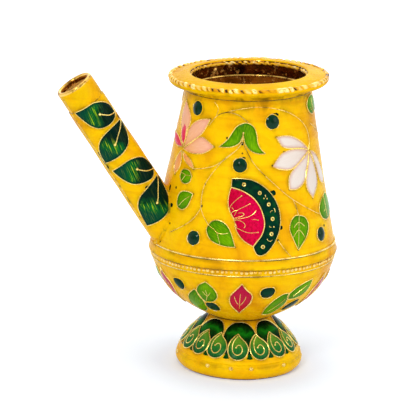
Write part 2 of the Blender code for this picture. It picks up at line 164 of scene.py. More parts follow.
def between(tree, value, low, high, out_low, out_high):
    """Stretches a value from one range to another."""
    return node(tree, "ShaderNodeMapRange", {0: value, 1: low, 2: high, 3: out_low, 4: out_high}).outputs[0]


NOISE_LOW, NOISE_HIGH = 0.3, 0.7


def swing(tree, grain, low, high):
    """Spreads a noise, most of which lies in a middle band, over a range."""
    return between(tree, grain, NOISE_LOW, NOISE_HIGH, low, high)


def maths(tree, operation, first, second):
    """One step of arithmetic on two values."""
    return node(tree, "ShaderNodeMath", {0: first, 1: second}, operation=operation).outputs[0]


SPECK_SHARE = 0.35


def glaze_group():
    """Unevenness of a fired surface: broad clouds, fine specks, and a height for its ripples."""
    group = bpy.data.node_groups.new("fired_surface", "ShaderNodeTree")
    for title in ("Cloud Scale", "Speck Scale"):
        group.interface.new_socket(title, in_out="INPUT", socket_type="NodeSocketFloat")
    for title in ("Cloud", "Speck", "Height"):
        group.interface.new_socket(title, in_out="OUTPUT", socket_type="NodeSocketFloat")
    given = node(group, "NodeGroupInput").outputs
    where = node(group, "ShaderNodeTexCoord").outputs["Object"]
    clouds = {"Scale": given["Cloud Scale"], "Detail": 5.0, "Roughness": 0.6, "Distortion": 0.6}
    specks = {"Scale": given["Speck Scale"], "Detail": 3.0, "Roughness": 0.65}
    cloud, speck = (
        node(group, "ShaderNodeTexNoise", {"Vector": where, **grain}).outputs["Fac"]
        for grain in (clouds, specks)
    )
    ripples = {0: speck, 1: SPECK_SHARE, 2: cloud}
    height = node(group, "ShaderNodeMath", ripples, operation="MULTIPLY_ADD").outputs[0]
    node(group, "NodeGroupOutput", {"Cloud": cloud, "Speck": speck, "Height": height})
    return group


FIRED = glaze_group()


def fired(tree, cloud_scale, speck_scale):
    """Places the fired surface in a material and returns its cloud, speck and height."""
    scales = {"Cloud Scale": cloud_scale, "Speck Scale": speck_scale}
    made = node(tree, "ShaderNodeGroup", scales, node_tree=FIRED).outputs
    return made["Cloud"], made["Speck"], made["Height"]


def mark(tree, name):
    """Reads a value that the mesh carries."""
    return node(tree, "ShaderNodeAttribute", attribute_name=name).outputs["Fac"]


def new_material(name):
    """A material, its node tree and its shader."""
    material = bpy.data.materials.new(name)
    material.use_nodes = True
    return material, material.node_tree, material.node_tree.nodes["Principled BSDF"]


def connect(tree, shader, **sockets):
    """Links outputs to the shader's sockets, or sets them, by names with _ for a space."""
    for key, value in sockets.items():
        plug(tree, shader.inputs[key.replace("_", " ")], value)


def bump(tree, height, strength, depth):
    """A normal that follows a height."""
    inputs = {"Height": height, "Strength": strength, "Distance": depth}
    return node(tree, "ShaderNodeBump", inputs).outputs["Normal"]


def stretched(tree, vector, scale):
    """Coordinates scaled by axis, so that a noise on them runs in streaks."""
    return node(tree, "ShaderNodeMapping", {"Vector": vector, "Scale": scale}).outputs["Vector"]


AMBER = (0.68, 0.275, 0.001)
YOLK = (0.87, 0.455, 0.001)
LEMON = (0.91, 0.555, 0.001)
STAIN_AND_SHADE_BROWN = (0.24, 0.14, 0.002)
CREPT_GREEN = (0.02, 0.12, 0.01)


def yellow_enamel(name, gloss):
    """Opaque yellow enamel: clouded where laid unevenly, wiped round the pot, stained along the wires, and
    darkened as painted shade in a few creases and under the rim.
    """
    material, tree, shader = new_material(name)
    cloud, speck, height = fired(tree, 42.0, 420.0)
    ground = ramp(tree, cloud, ((0.28, AMBER), (0.43, YOLK), (0.56, LEMON), (0.70, YOLK)))
    where = node(tree, "ShaderNodeTexCoord").outputs["Object"]
    wiping = {"Vector": stretched(tree, where, (28.0, 28.0, 340.0)), "Scale": 1.0, "Detail": 3.0}
    wiped = node(tree, "ShaderNodeTexNoise", wiping).outputs["Fac"]
    ground = blend(tree, between(tree, wiped, 0.5, 0.78, 0.0, 0.55), ground, (*AMBER, 1.0))
    patch = between(tree, fired(tree, 150.0, 420.0)[0], 0.42, 0.62, 0.1, 0.9)
    # The value read here carries both flux stains and painted shade in creases and under the rim.
    colour = blend(tree, maths(tree, "MULTIPLY", mark(tree, "stain_and_shade"), patch), ground, (*STAIN_AND_SHADE_BROWN, 1.0))
    colour = blend(tree, maths(tree, "MULTIPLY", mark(tree, "crept"), patch), colour, (*CREPT_GREEN, 1.0))
    connect(
        tree, shader, Base_Color=colour, Roughness=swing(tree, speck, 0.20, 0.38),
        Normal=bump(tree, height, 0.45, 0.5 * MM), Specular_IOR_Level=gloss,
    )
    return material


YELLOW = yellow_enamel("yellow_enamel", 0.03)
GILT_LIGHT = (0.97, 0.73, 0.19)
GILT_DEEP = (0.62, 0.36, 0.05)


def gilt_brass(name, deep, light, bare):
    """Gilt wire and beads, bright where rubbed, browner where the fire marked them."""
    material, tree, shader = new_material(name)
    cloud, speck, height = fired(tree, 160.0, 1400.0)
    colour = ramp(tree, cloud, ((0.36, deep), (0.5, light), (0.62, light), (0.75, deep)))
    connect(
        tree, shader, Base_Color=colour, Metallic=bare, Roughness=swing(tree, speck, 0.18, 0.36),
        Normal=bump(tree, height, 0.25, 0.2 * MM),
    )
    return material


GILT = gilt_brass("gilt_brass", GILT_DEEP, GILT_LIGHT, 0.6)
PAINTED_GLINT = (1.0, 0.62, 0.16)


def old_brass(name, dark, warm, bare, painted_glints=0.0):
    """Bare brass inside the pot, browned by the kiln, with hammer marks, and bright gold specks painted on
    as glints.
    """
    material, tree, shader = new_material(name)
    cloud, speck, height = fired(tree, 90.0, 320.0)
    colour = ramp(tree, cloud, ((0.35, dark), (0.5, warm), (0.7, dark)))
    # Painted highlight: where the speck noise is highest, the colour turns to a bright gold glint.
    colour = blend(tree, between(tree, speck, 0.56, 0.66, 0.0, painted_glints), colour, (*PAINTED_GLINT, 1.0))
    connect(
        tree, shader, Base_Color=colour, Metallic=bare, Roughness=swing(tree, speck, 0.12, 0.32),
        Normal=bump(tree, height, 0.7, 0.9 * MM),
    )
    return material


BRASS = old_brass("old_brass", (0.44, 0.16, 0.010), (0.92, 0.48, 0.08), 0.55)
# Dark brass, flecked with painted glints at full strength.
DARK_BRASS = old_brass("dark_brass", (0.028, 0.007, 0.001), (0.24, 0.075, 0.006), 0.95, 1.0)


def bare_inside(bm, inner):
    """Gives the second finish to the faces that lie nearer the axis than a radius given by height."""
    for face in bm.faces:
        middle = face.calc_center_median()
        if middle.xy.length < inner(middle.z):
            face.material_index = 1


roll_outline = (
    bend((30.6, 8.1), (31.4, 7.8), (31.8, 7.2), (31.7, 6.5), 8)
    + bend((31.75, 6.1), (32.7, 4.9), (32.2, 1.6), (29.6, 0.0), 16)
    + line((26.9, 0.0), (26.4, 0.5), (26.4, 8.1))
)
ROLL_INSIDE = 27 * MM
ROLL_UNDERSIDE = 0.6 * MM
roll = turned(roll_outline)
bare_inside(roll, lambda z: ROLL_INSIDE)
for face in roll.faces:
    if face.calc_center_median().z < ROLL_UNDERSIDE:
        face.material_index = 2
waver(roll)
roll_piece = add_piece("foot_roll", roll, [YELLOW, BRASS, DARK_BRASS], ["foot_ring"])

STUD_RADIUS = 1.15 * MM
STUD_SEAT = Matrix.Translation((31.8 * MM, 0, 6.3 * MM))
STUD_FLAT = Matrix.Diagonal((0.7, 1.0, 0.9, 1.0))
STUD_ANGLES = (-29.6, -7.4, 10.9, 44.4, 81, 103, 128, 156, 171, 199, 226, 252, 282)
studs = bmesh.new()
for degrees in STUD_ANGLES:
    seat = Matrix.Rotation(math.radians(FRONT + degrees), 4, "Z") @ STUD_SEAT
    bmesh.ops.create_icosphere(studs, subdivisions=2, radius=STUD_RADIUS, matrix=seat @ STUD_FLAT)
add_piece("foot_studs", studs, [GILT])

# Foot shell: flared cone of sheet brass, spun, with a flat top on which the bowl is soldered.
# Eight dark lobes and sixteen scrolled petals of enamel go round it between gilt wires.
FOOT_SKIN = bend((13.9, 26.8), (17.74, 24.6), (28.6, 13.62), (30.6, 8.0), 36)
foot_inside = bend((12.4, 24.9), (16.4, 22.9), (27.0, 12.6), (29.1, 8.0), 20)
shell = turned(FOOT_SKIN + foot_inside[::-1] + line((8.0, 24.9), (8.0, 26.8)))
FOOT_WALL = 1.3 * MM


def skin_at(skin, height):
    """Radius of a turned skin at a height, and its outward direction there as (radius, height)."""
    for low, high in zip(skin, skin[1:]):
        if min(low.y, high.y) <= height <= max(low.y, high.y) and low.y != high.y:
            share = (height - low.y) / (high.y - low.y)
            run = high - low if high.y > low.y else low - high
            return low.x + (high.x - low.x) * share, Vector((run.y, -run.x)).normalized()
    end = min((skin[0], skin[-1]), key=lambda point: abs(point.y - height))
    return end.x, Vector((1, 0))


bare_inside(shell, lambda z: skin_at(FOOT_SKIN, z)[0] - FOOT_WALL)
waver(shell)
shell_piece = add_piece("foot_flare", shell, [YELLOW, BRASS], ["foot_shell"])


def stroke(points, steps=5):
    """A freehand line drawn smoothly through the points."""
    points = [Vector(p) for p in points]
    drawn = []
    for k, (here, there) in enumerate(zip(points, points[1:])):
        before = points[max(k - 1, 0)]
        after = points[min(k + 2, len(points) - 1)]
        pulls = here + (there - before) / 6, there - (after - here) / 6
        knots = [p.to_3d() for p in (here, *pulls, there)]
        drawn += [p.xy for p in interpolate_bezier(*knots, steps + 1)[:-1]]
    return drawn + [points[-1]]


def closed(*strokes):
    """An outline of strokes that meet in corners, in millimetres."""
    outline = []
    for points in strokes:
        outline += stroke(points)[:-1]
    return outline


def edge_distance(point, outline):
    """How far a flat point lies from the outline."""
    nearest = math.inf
    for a, b in zip(outline, outline[1:] + outline[:1]):
        foot, share = intersect_point_line(point, a, b)
        spot = a if share < 0 else b if share > 1 else foot
        nearest = min(nearest, (point - spot.to_2d()).length)
    return nearest


CELL_SUNK = 0.35
CELL_LIP = 0.10
CELL_WELD = 0.001


def enamel_cell(outline, stalk, tip, crown=0.35, shoulder=1.6, grid=1.3, finish=0):
    """One cell of enamel as a flat drawing in millimetres: a plate cut to the outline, swelling by crown
    within shoulder of its edge. Its UV map runs from stalk to tip, and "edge" is 0 along the wire."""
    bm = bmesh.new()
    plate = bm.faces.new([bm.verts.new((x, y, 0)) for x, y in outline])
    plate.normal_update()
    if plate.normal.z < 0:
        plate.normal_flip()
    lifted = bmesh.ops.extrude_face_region(bm, geom=[plate])["geom"]
    for vert in (v for v in lifted if isinstance(v, bmesh.types.BMVert)):
        vert.co.z = CELL_LIP
    bmesh.ops.recalc_face_normals(bm, faces=bm.faces)
    for axis in (0, 1):
        low = min(p[axis] for p in outline)
        high = max(p[axis] for p in outline)
        count = max(int((high - low) / grid), 1)
        for k in range(1, count):
            cut = Vector((0, 0, 0))
            cut[axis] = low + (high - low) * k / count
            across_cut = Vector((0, 0, 0))
            across_cut[axis] = 1
            bmesh.ops.bisect_plane(
                bm, geom=[*bm.verts, *bm.edges, *bm.faces], dist=CELL_WELD, plane_co=cut,
                plane_no=across_cut,
            )
    rise = bm.verts.layers.float.new("edge")
    flat = bm.loops.layers.uv.new("flat")
    along = Vector(tip) - Vector(stalk)
    across = Vector((along.y, -along.x))
    for face in bm.faces:
        face.material_index = finish
        for loop in face.loops:
            offset = loop.vert.co.xy - Vector(stalk)
            loop[flat].uv = [offset.dot(way) / along.length_squared for way in (across, along)]
    border = [Vector(p) for p in outline]
    for vert in bm.verts:
        away = edge_distance(vert.co.xy, border)
        vert[rise] = min(away / shoulder, 1.0)
        if vert.co.z > 0:
            vert.co.z = CELL_LIP + crown * (1 - (1 - vert[rise]) ** 2)
        else:
            vert.co.z = -CELL_SUNK
    mesh = bpy.data.meshes.new("cell")
    bm.to_mesh(mesh)
    bm.free()
    return mesh


def lay(point, skin, degrees, height):
    """Lays a flat point (across, up, level), in millimetres, on a turned skin at an angle and a height."""
    across, up, level = point
    middle = skin_at(skin, height)[0]
    radius, outward = skin_at(skin, height + up * MM)
    angle = math.radians(degrees) + across * MM / middle
    radius += outward.x * level * MM
    rise = height + (up + outward.y * level) * MM
    return wavered(Vector((radius * math.cos(angle), radius * math.sin(angle), rise)))


def lay_into(bm, cell, skin, degrees, height):
    """Adds a flat cell to a mesh, laid on a skin."""
    start = len(bm.verts)
    bm.from_mesh(cell)
    bm.verts.ensure_lookup_table()
    for vert in bm.verts[start:]:
        vert.co = lay(vert.co, skin, degrees, height)


def laid(cells, skin, degrees, height):
    """Flat cells laid on a skin, in one mesh."""
    bm = bmesh.new()
    for cell in cells:
        lay_into(bm, cell, skin, degrees, height)
    return bm


WIRE = 0.22
WIRE_LIFT = 0.22


def wire_on(skin, degrees, height, drawing, looped, thick=WIRE, lift=WIRE_LIFT):
    """A wire bent to a flat drawing and laid on a skin: its points, whether it closes, and its radius."""
    points = [lay((x, y, lift), skin, degrees, height) for x, y in drawing]
    return points, looped, thick


def wire_mesh(wires, balls=()):
    """Round wire along each line, with balls of melted wire at the given points."""
    curve = bpy.data.curves.new("wires", "CURVE")
    curve.dimensions = "3D"
    curve.bevel_depth = MM
    curve.bevel_resolution = 1
    curve.use_fill_caps = True
    for points, looped, thick in wires:
        spline = curve.splines.new("POLY")
        spline.points.add(len(points) - 1)
        spline.use_cyclic_u = looped
        for spot, point in zip(spline.points, points):
            spot.co = (*point, 1)
            spot.radius = thick
    coil = bpy.data.objects.new("wires", curve)
    bpy.context.scene.collection.objects.link(coil)
    bpy.context.view_layer.update()
    mesh = bpy.data.meshes.new_from_object(coil.evaluated_get(bpy.context.evaluated_depsgraph_get()))
    bpy.data.objects.remove(coil)
    bm = bmesh.new()
    bm.from_mesh(mesh)
    for point, radius in balls:
        bmesh.ops.create_icosphere(bm, subdivisions=2, radius=radius * MM, matrix=Matrix.Translation(point))
    return bm


def cell_enamel(
    name, stops, edge_colour, edge_share, streak_colour, streak_share, streaks=(9.0, 1.2),
    hairs=(0.46, 0.68), highlight_zone=None, lean=None, painted_glint=None, gloss=0.09, rough=(0.10, 0.24),
):
    """Enamel of one cell: colours run from its stalk to its tip, streaked along it and tinted at its wire.
    A highlight zone, as stops of grey from stalk to tip, keeps the streaks to the part of the cell where
    light would catch them, so that they are a painted highlight. With lean, the streaks follow a direction
    leaning by that angle in space, where metal was scratched before it was enamelled, and the strongest
    streaks take a painted glint colour."""
    material, tree, shader = new_material(name)
    cloud, speck, height = fired(tree, 170.0, 700.0)
    flat = node(tree, "ShaderNodeUVMap", uv_map="flat").outputs["UV"]
    up = node(tree, "ShaderNodeSeparateXYZ", {0: flat}).outputs["Y"]
    drift = maths(tree, "ADD", up, swing(tree, cloud, -0.12, 0.12))
    colour = ramp(tree, drift, stops)
    if lean is None:
        spread = stretched(tree, flat, (*streaks, 1.0))
    else:
        where = node(tree, "ShaderNodeTexCoord").outputs["Object"]
        turning = {"Vector": where, "Rotation": (0.0, lean, 0.0)}
        turn = node(tree, "ShaderNodeMapping", turning).outputs["Vector"]
        spread = stretched(tree, turn, (streaks[0], streaks[0], streaks[1]))
    hair = node(tree, "ShaderNodeTexNoise", {"Vector": spread, "Scale": 4.0, "Detail": 4.0}).outputs["Fac"]
    mask = between(tree, hair, *hairs, 0.0, streak_share)
    rim = mark(tree, "edge")
    if highlight_zone:
        grey = [(place, (value, value, value)) for place, value in highlight_zone]
        mask = maths(tree, "MULTIPLY", mask, ramp(tree, up, grey))
        mask = maths(tree, "MULTIPLY", mask, between(tree, rim, 0.55, 1.0, 0.0, 1.0))
    tint = (*streak_colour, 1.0)
    if painted_glint:
        painted_glint_mask = between(tree, hair, hairs[1] - 0.03, hairs[1] + 0.05, 0.0, 1.0)
        tint = blend(tree, painted_glint_mask, tint, (*painted_glint, 1.0))
    colour = blend(tree, mask, colour, tint)
    colour = blend(tree, between(tree, rim, 0.0, 0.9, edge_share, 0.0), colour, (*edge_colour, 1.0))
    connect(
        tree, shader, Base_Color=colour, Roughness=swing(tree, speck, *rough),
        Normal=bump(tree, height, 0.2, 0.25 * MM), Specular_IOR_Level=gloss,
    )
    return material


# Painted highlight: the bright green band a little above the middle of each lobe stands in for light caught
# on the metal under the enamel.
LOBE_GREEN = cell_enamel(
    "lobe_green",
    ((0.36, (0.001, 0.006, 0.004)), (0.54, (0.001, 0.030, 0.003)), (0.68, (0.005, 0.15, 0.005)),
     (0.80, (0.001, 0.026, 0.002)), (0.95, (0.001, 0.003, 0.002))),
    (0.0005, 0.002, 0.001), 0.98, (0.008, 0.14, 0.005), 0.3, gloss=0.03,
)
SCROLL_GREEN = cell_enamel(
    "scroll_green",
    ((0.05, (0.002, 0.075, 0.018)), (0.4, (0.012, 0.15, 0.017)), (0.9, (0.15, 0.30, 0.006))),
    (0.002, 0.05, 0.010), 0.5, (0.08, 0.28, 0.06), 0.4, gloss=0.05,
)
GAP_GREEN = cell_enamel(
    "gap_green", ((0.0, (0.002, 0.060, 0.006)), (1.0, (0.004, 0.090, 0.007))),
    (0.001, 0.030, 0.003), 0.5, (0.010, 0.12, 0.008), 0.3, gloss=0.03,
)

LOBES = 8
LOBE_MIDDLE = 17.0 * MM
LOBE_HALF = ((-21.2, 12.6), (-22.1, 17.0), (-22.2, 20.0), (-20.3, 22.8), (-14.0, 24.8), (-5.5, 25.5))
LOBE = (*LOBE_HALF, *((-degrees, height) for degrees, height in LOBE_HALF[::-1]))
SCROLLS = 16
SCROLL_STRAYS = (
    -1.7, -0.5, -0.9, -0.8, 0.6, -0.4, 1.1, 0.3, -0.9, 0.5, -0.3, 0.8, 0.6, 1.2, -0.6, -2.4,
)
SCROLL_MIDDLE = 15.0 * MM
SCROLL = ((-0.6, 20.8), (-5.4, 19.6), (-9.7, 17.5), (-11.0, 15.1), (-9.8, 12.6), (-6.2, 10.8), (-0.9, 10.0),
          (4.8, 10.6), (9.0, 12.4), (10.9, 15.2), (8.2, 17.5), (2.6, 19.4), (-0.6, 20.8))
SPIRAL = ((-0.9, 19.8), (-4.8, 18.1), (-6.4, 15.8), (-5.2, 13.4), (-1.3, 12.1), (2.9, 12.8), (4.4, 14.4),
          (2.6, 16.0), (-0.4, 16.1), (-2.4, 15.2))


def by_angle(skin, height, points):
    """A drawing given in (degrees, height in millimetres) as (across, up) about a middle height."""
    radius = skin_at(skin, height)[0] / MM
    return [(math.radians(degrees) * radius, z - height / MM) for degrees, z in points]


lobe_points = by_angle(FOOT_SKIN, LOBE_MIDDLE, LOBE)
lobe_arch = stroke(lobe_points)
lobe_outline = closed(lobe_points, [lobe_points[-1], lobe_points[0]])
scroll_outline = closed(by_angle(FOOT_SKIN, SCROLL_MIDDLE, SCROLL))
spiral = stroke(by_angle(FOOT_SKIN, SCROLL_MIDDLE, SPIRAL))
lobe_cell = enamel_cell(lobe_outline, (0, -4.5), (0, 8.6), crown=0.45, shoulder=3.0)
scroll_cell = enamel_cell(scroll_outline, (0, -5.0), (0, 5.8), crown=0.4, grid=0.9)
SCROLL_RAISE = 0.35
for vert in scroll_cell.vertices:
    vert.co.z += SCROLL_RAISE
FOOT_WIRE = 0.26
SCROLL_LIFT = WIRE_LIFT + SCROLL_RAISE
SPIRAL_LIFT = SCROLL_LIFT + 0.25
SPIRAL_BALL = 0.5
GAP = ((-1.6, -0.9), (0.0, -1.15), (1.6, -0.9), (0.9, 0.4), (0.5, 2.4), (-0.5, 2.4), (-0.9, 0.4))
gap_cell = enamel_cell([Vector(point) for point in GAP], (0, -1.2), (0, 2.2), crown=0.1, finish=1)
GAP_HEIGHT = 11.5 * MM
foot_wires = []
foot_balls = []
lobes = bmesh.new()
scrolls = bmesh.new()
for k in range(LOBES):
    degrees = FRONT + 360 * k / LOBES
    lay_into(lobes, lobe_cell, FOOT_SKIN, degrees, LOBE_MIDDLE)
    foot_wires.append(wire_on(FOOT_SKIN, degrees, LOBE_MIDDLE, lobe_arch, False, FOOT_WIRE))
for k in range(SCROLLS):
    stray, next_stray = SCROLL_STRAYS[k], SCROLL_STRAYS[(k + 1) % SCROLLS]
    degrees = FRONT + 360 * k / SCROLLS + stray
    gap_degrees = degrees + 180 / SCROLLS + (next_stray - stray) / 2
    lay_into(scrolls, scroll_cell, FOOT_SKIN, degrees, SCROLL_MIDDLE)
    lay_into(scrolls, gap_cell, FOOT_SKIN, gap_degrees, GAP_HEIGHT)
    seat = (FOOT_SKIN, degrees, SCROLL_MIDDLE)
    foot_wires.append(wire_on(*seat, scroll_outline, True, FOOT_WIRE, SCROLL_LIFT))
    foot_wires.append(wire_on(*seat, spiral, False, FOOT_WIRE, SPIRAL_LIFT))
    foot_balls.append((foot_wires[-1][0][-1], SPIRAL_BALL))
add_piece("foot_lobes", lobes, [LOBE_GREEN])
add_piece("foot_scrolls", scrolls, [SCROLL_GREEN, GAP_GREEN])
add_piece("foot_wires", wire_mesh(foot_wires, foot_balls), [GILT])

# Bowl: lower half of the body, spun from sheet brass and enamelled outside, bare inside.
# It is soldered to the foot's flat top, and its edge stands up inside the waist band.
BOWL_SKIN = bend((46.5, 58.4), (41.5, 40.0), (29.6, 33.3), (15.8, 26.7), 60)
bowl_inside = bend((44.7, 58.4), (39.6, 40.9), (28.5, 34.9), (15.5, 28.2), 40)
bowl_edge = line((44.7, 62.7), (46.2, 62.7))
BOWL_WALL = 0.75 * MM
BOWL_EDGE_HEIGHT = 58 * MM
BOWL_EDGE_INSIDE = 45 * MM


def bowl_middle(height):
    """Radius between the bowl's inside and its skin."""
    if height < BOWL_EDGE_HEIGHT:
        return skin_at(BOWL_SKIN, height)[0] - BOWL_WALL
    return BOWL_EDGE_INSIDE


bowl = turned(
    line((0.0, 28.2)) + bowl_inside[::-1] + bowl_edge + BOWL_SKIN + line((0.0, 26.7)), closed=False
)
bare_inside(bowl, bowl_middle)
waver(bowl)
bowl_piece = add_piece("bowl_shell", bowl, [YELLOW, BRASS], ["bowl"])

BURNT_AND_SHADE_LINE = old_brass("burnt_and_shade_line", (0.035, 0.018, 0.002), (0.13, 0.075, 0.008), 0.2)
SINK_CHANGES = 5


def solder_and_shade_line(name, radius, height, thick, sink, place=POT):
    """A thin dark ring in a crease, in millimetres, which sinks out of sight here and there. At some joints
    it is burnt solder; under the bowl, under the waist band's ledge and in the spout's step it is painted
    shade.
    """
    points = []
    for k in range(TURN_STEPS):
        angle = math.tau * k / TURN_STEPS
        spoke = Vector((math.cos(angle), math.sin(angle), 0))
        out = radius + sink * noise.noise(spoke * SINK_CHANGES + Vector((0, 0, height)))
        points.append(wavered((spoke * out + Vector((0, 0, height))) * MM))
    add_piece(name, wire_mesh([(points, True, thick)]), [BURNT_AND_SHADE_LINE], place=place)


# Painted shade: a dark ring in the gap where the bowl sits on the foot.
solder_and_shade_line("foot_shadow_line", 16.05, 26.75, 0.32, 0.2)

# Bowl ornament: six ruby leaves spaced by hand, with a dark oval and a pair of green leaves between
# them, each a cell of enamel in its own gilt wire, soldered on before firing.
RUBY_RED = cell_enamel(
    "ruby_red", ((0.0, (0.54, 0.001, 0.006)), (0.35, (0.51, 0.002, 0.030)), (1.0, (0.38, 0.005, 0.05))),
    (0.27, 0.001, 0.014), 0.4, (0.60, 0.02, 0.08), 0.3, gloss=0.1,
)
LEAF_GREEN = cell_enamel(
    "leaf_green", ((0.0, (0.04, 0.18, 0.0005)), (0.5, (0.09, 0.28, 0.0005)), (1.0, (0.16, 0.40, 0.0005))),
    (0.02, 0.11, 0.0005), 0.7, (0.24, 0.50, 0.001), 0.6, gloss=0.03,
)
DARK_GREEN = cell_enamel(
    "dark_green",
    ((0.0, (0.001, 0.028, 0.014)), (0.5, (0.002, 0.040, 0.020)), (1.0, (0.002, 0.028, 0.015))),
    (0.001, 0.010, 0.006), 0.7, (0.005, 0.09, 0.030), 0.4, streaks=(3.0, 3.0), gloss=0.04,
)
RUBY_HEIGHT = 45.1 * MM
RUBY_ANGLES = (-1.1, 64, 122, 180, 238, 296)
RUBY_WIRE = 0.3
RUBY_STALK, RUBY_TIP = (-0.6, -10.0), (0.4, 9.0)
ruby_outline = closed(
    [RUBY_TIP, (2.5, 5.8), (5.0, 3.2), (5.5, 0.3), (4.2, -3.7), RUBY_STALK],
    [RUBY_STALK, (-4.6, -5.0), (-5.5, -1.2), (-4.8, 2.0), (-2.2, 5.5), RUBY_TIP],
)
ruby_veins = (
    [(-0.5, -5.7), (-0.4, -1.3), (-0.1, 3.4)],
    [(-1.1, -3.1), (-2.3, -1.0), (-3.0, 1.7)],
    [(0.1, -3.4), (1.7, -0.8), (2.5, 2.0)],
)
VEIN = 0.15
VEIN_LIFT = 0.5
bowl_wires = []
oval_wires = []
ruby_cell = enamel_cell(ruby_outline, RUBY_STALK, RUBY_TIP)
for number, degrees in enumerate(RUBY_ANGLES, start=1):
    seat = (BOWL_SKIN, FRONT + degrees, RUBY_HEIGHT)
    ruby = laid([ruby_cell], *seat)
    add_piece(f"ruby_cell_{number}", ruby, [RUBY_RED], [f"ruby_leaf_{number}"])
    bowl_wires.append(wire_on(*seat, ruby_outline, True, RUBY_WIRE))
    for vein in ruby_veins:
        bowl_wires.append(wire_on(*seat, stroke(vein), False, VEIN, VEIN_LIFT))

OVAL_HEIGHT = 48.9 * MM
OVAL_TURN = 17.5
oval_outline = closed(
    [(-3.8, -0.1), (-3.2, 2.1), (-0.6, 3.2), (2.4, 3.0), (3.9, 1.2), (3.5, -1.4), (0.8, -3.2), (-2.4, -2.5),
     (-3.8, -0.1)],
)
oval_cell = enamel_cell(oval_outline, (0, -3.2), (0, 3.2), crown=0.6, shoulder=2.5, finish=1)
PAIR_TURN = 36.5
LEAF_CROWN, PIP_CROWN = 0.35, 0.47
UPPER_SWELL, LOWER_SWELL, PIP_SWELL = 1.10, 1.14, 1.2
PIP_WAY = ((2.5, -6), (3, 0))
PAIRS = (
    (
        44.0 * MM,
        closed([(9.6, 9.0), (5.2, 7.9), (1.2, 5.6), (-1.2, 2.4), (-0.4, 0.1)],
               [(-0.4, 0.1), (4.2, -0.4), (8.0, 1.2), (9.8, 4.4), (9.6, 9.0)]),
        ((-0.4, 0.1), (9.6, 9.0)),
        closed([(-1.9, 2.6), (-5.0, 2.4), (-8.4, -0.6), (-10.6, -5.3), (-9.9, -9.4)],
               [(-9.9, -9.4), (-5.2, -9.8), (-2.4, -7.2), (-1.1, -3.4), (-1.9, 2.6)]),
        ((-1.9, 2.6), (-9.9, -9.4)),
        closed([(6.9, -1.8), (3.4, -3.4), (1.6, -6.0), (2.6, -7.8), (6.0, -8.2), (8.7, -6.4), (8.6, -3.4),
                (6.9, -1.8)]),
        ([(1.8, 1.3), (4.4, 4.0), (7.4, 6.6)], [(-2.6, 0.2), (-5.0, -3.6), (-8.4, -7.6)]),
    ),
    (
        41.2 * MM,
        closed([(2.3, 11.7), (-0.8, 9.4), (-2.5, 6.3), (-2.1, 3.0), (-0.2, 0.4)],
               [(-0.2, 0.4), (3.2, 1.0), (5.9, 3.4), (6.3, 6.2), (4.8, 9.4), (2.3, 11.7)]),
        ((-0.2, 0.4), (2.3, 11.7)),
        closed([(-4.2, 5.9), (-8.2, 2.6), (-10.8, -0.9), (-12.0, -4.6), (-10.6, -7.2)],
               [(-10.6, -7.2), (-6.6, -7.0), (-3.0, -4.8), (-2.0, -1.7), (-2.6, 2.4), (-4.2, 5.9)]),
        ((-4.2, 5.9), (-10.6, -7.2)),
        closed([(0.6, -0.4), (-1.0, -2.1), (-0.5, -4.2), (1.9, -5.3), (5.2, -4.5), (5.4, -1.9), (3.6, -0.2),
                (0.6, -0.4)]),
        ([(0.6, 1.4), (2.0, 4.4), (1.8, 7.6)], [(0.2, 6.6), (1.9, 4.2), (3.9, 6.5)]),
    ),
)


def fuller(outline, share):
    """The same drawing swelled about its middle."""
    middle = sum(outline, Vector((0, 0))) / len(outline)
    return [middle + (point - middle) * share for point in outline]


bowl_green = bmesh.new()
for number, degrees in enumerate(RUBY_ANGLES):
    height, upper, upper_way, lower, lower_way, pip, veins = PAIRS[number % 2]
    seat = (BOWL_SKIN, FRONT + degrees + PAIR_TURN, height)
    for outline, swell, way, crown, finish, wires in (
        (upper, UPPER_SWELL, upper_way, LEAF_CROWN, 0, bowl_wires),
        (lower, LOWER_SWELL, lower_way, LEAF_CROWN, 0, bowl_wires),
        (pip, PIP_SWELL, PIP_WAY, PIP_CROWN, 1, oval_wires),
    ):
        outline = fuller(outline, swell)
        lay_into(bowl_green, enamel_cell(outline, *way, crown=crown, finish=finish), *seat)
        wires.append(wire_on(*seat, outline, True))
    for vein in veins:
        bowl_wires.append(wire_on(*seat, stroke(vein), False, VEIN, VEIN_LIFT))
    seat = (BOWL_SKIN, FRONT + degrees + OVAL_TURN, OVAL_HEIGHT)
    lay_into(bowl_green, oval_cell, *seat)
    oval_wires.append(wire_on(*seat, oval_outline, True))
add_piece("bowl_leaves", bowl_green, [LEAF_GREEN, DARK_GREEN])
add_piece("bowl_wires", wire_mesh(bowl_wires), [GILT])

PALE_GILT = (0.97, 0.76, 0.36)


def covered_gilt():
    """Gilt that the yellow enamel beside it half covers."""
    material, tree, shader = new_material("covered_gilt")
    cloud, speck, height = fired(tree, 380.0, 1500.0)
    bare = between(tree, cloud, 0.52, 0.62, 0.0, 1.0)
    colour = blend(tree, bare, (*LEMON, 1.0), (*PALE_GILT, 1.0))
    connect(
        tree, shader, Base_Color=colour, Metallic=between(tree, bare, 0.0, 1.0, 0.0, 0.7),
        Roughness=swing(tree, speck, 0.16, 0.34), Normal=bump(tree, height, 0.3, 0.2 * MM),
        Specular_IOR_Level=0.15,
    )
    return material


COVERED_GILT = covered_gilt()
add_piece("bowl_oval_wires", wire_mesh(oval_wires), [COVERED_GILT])

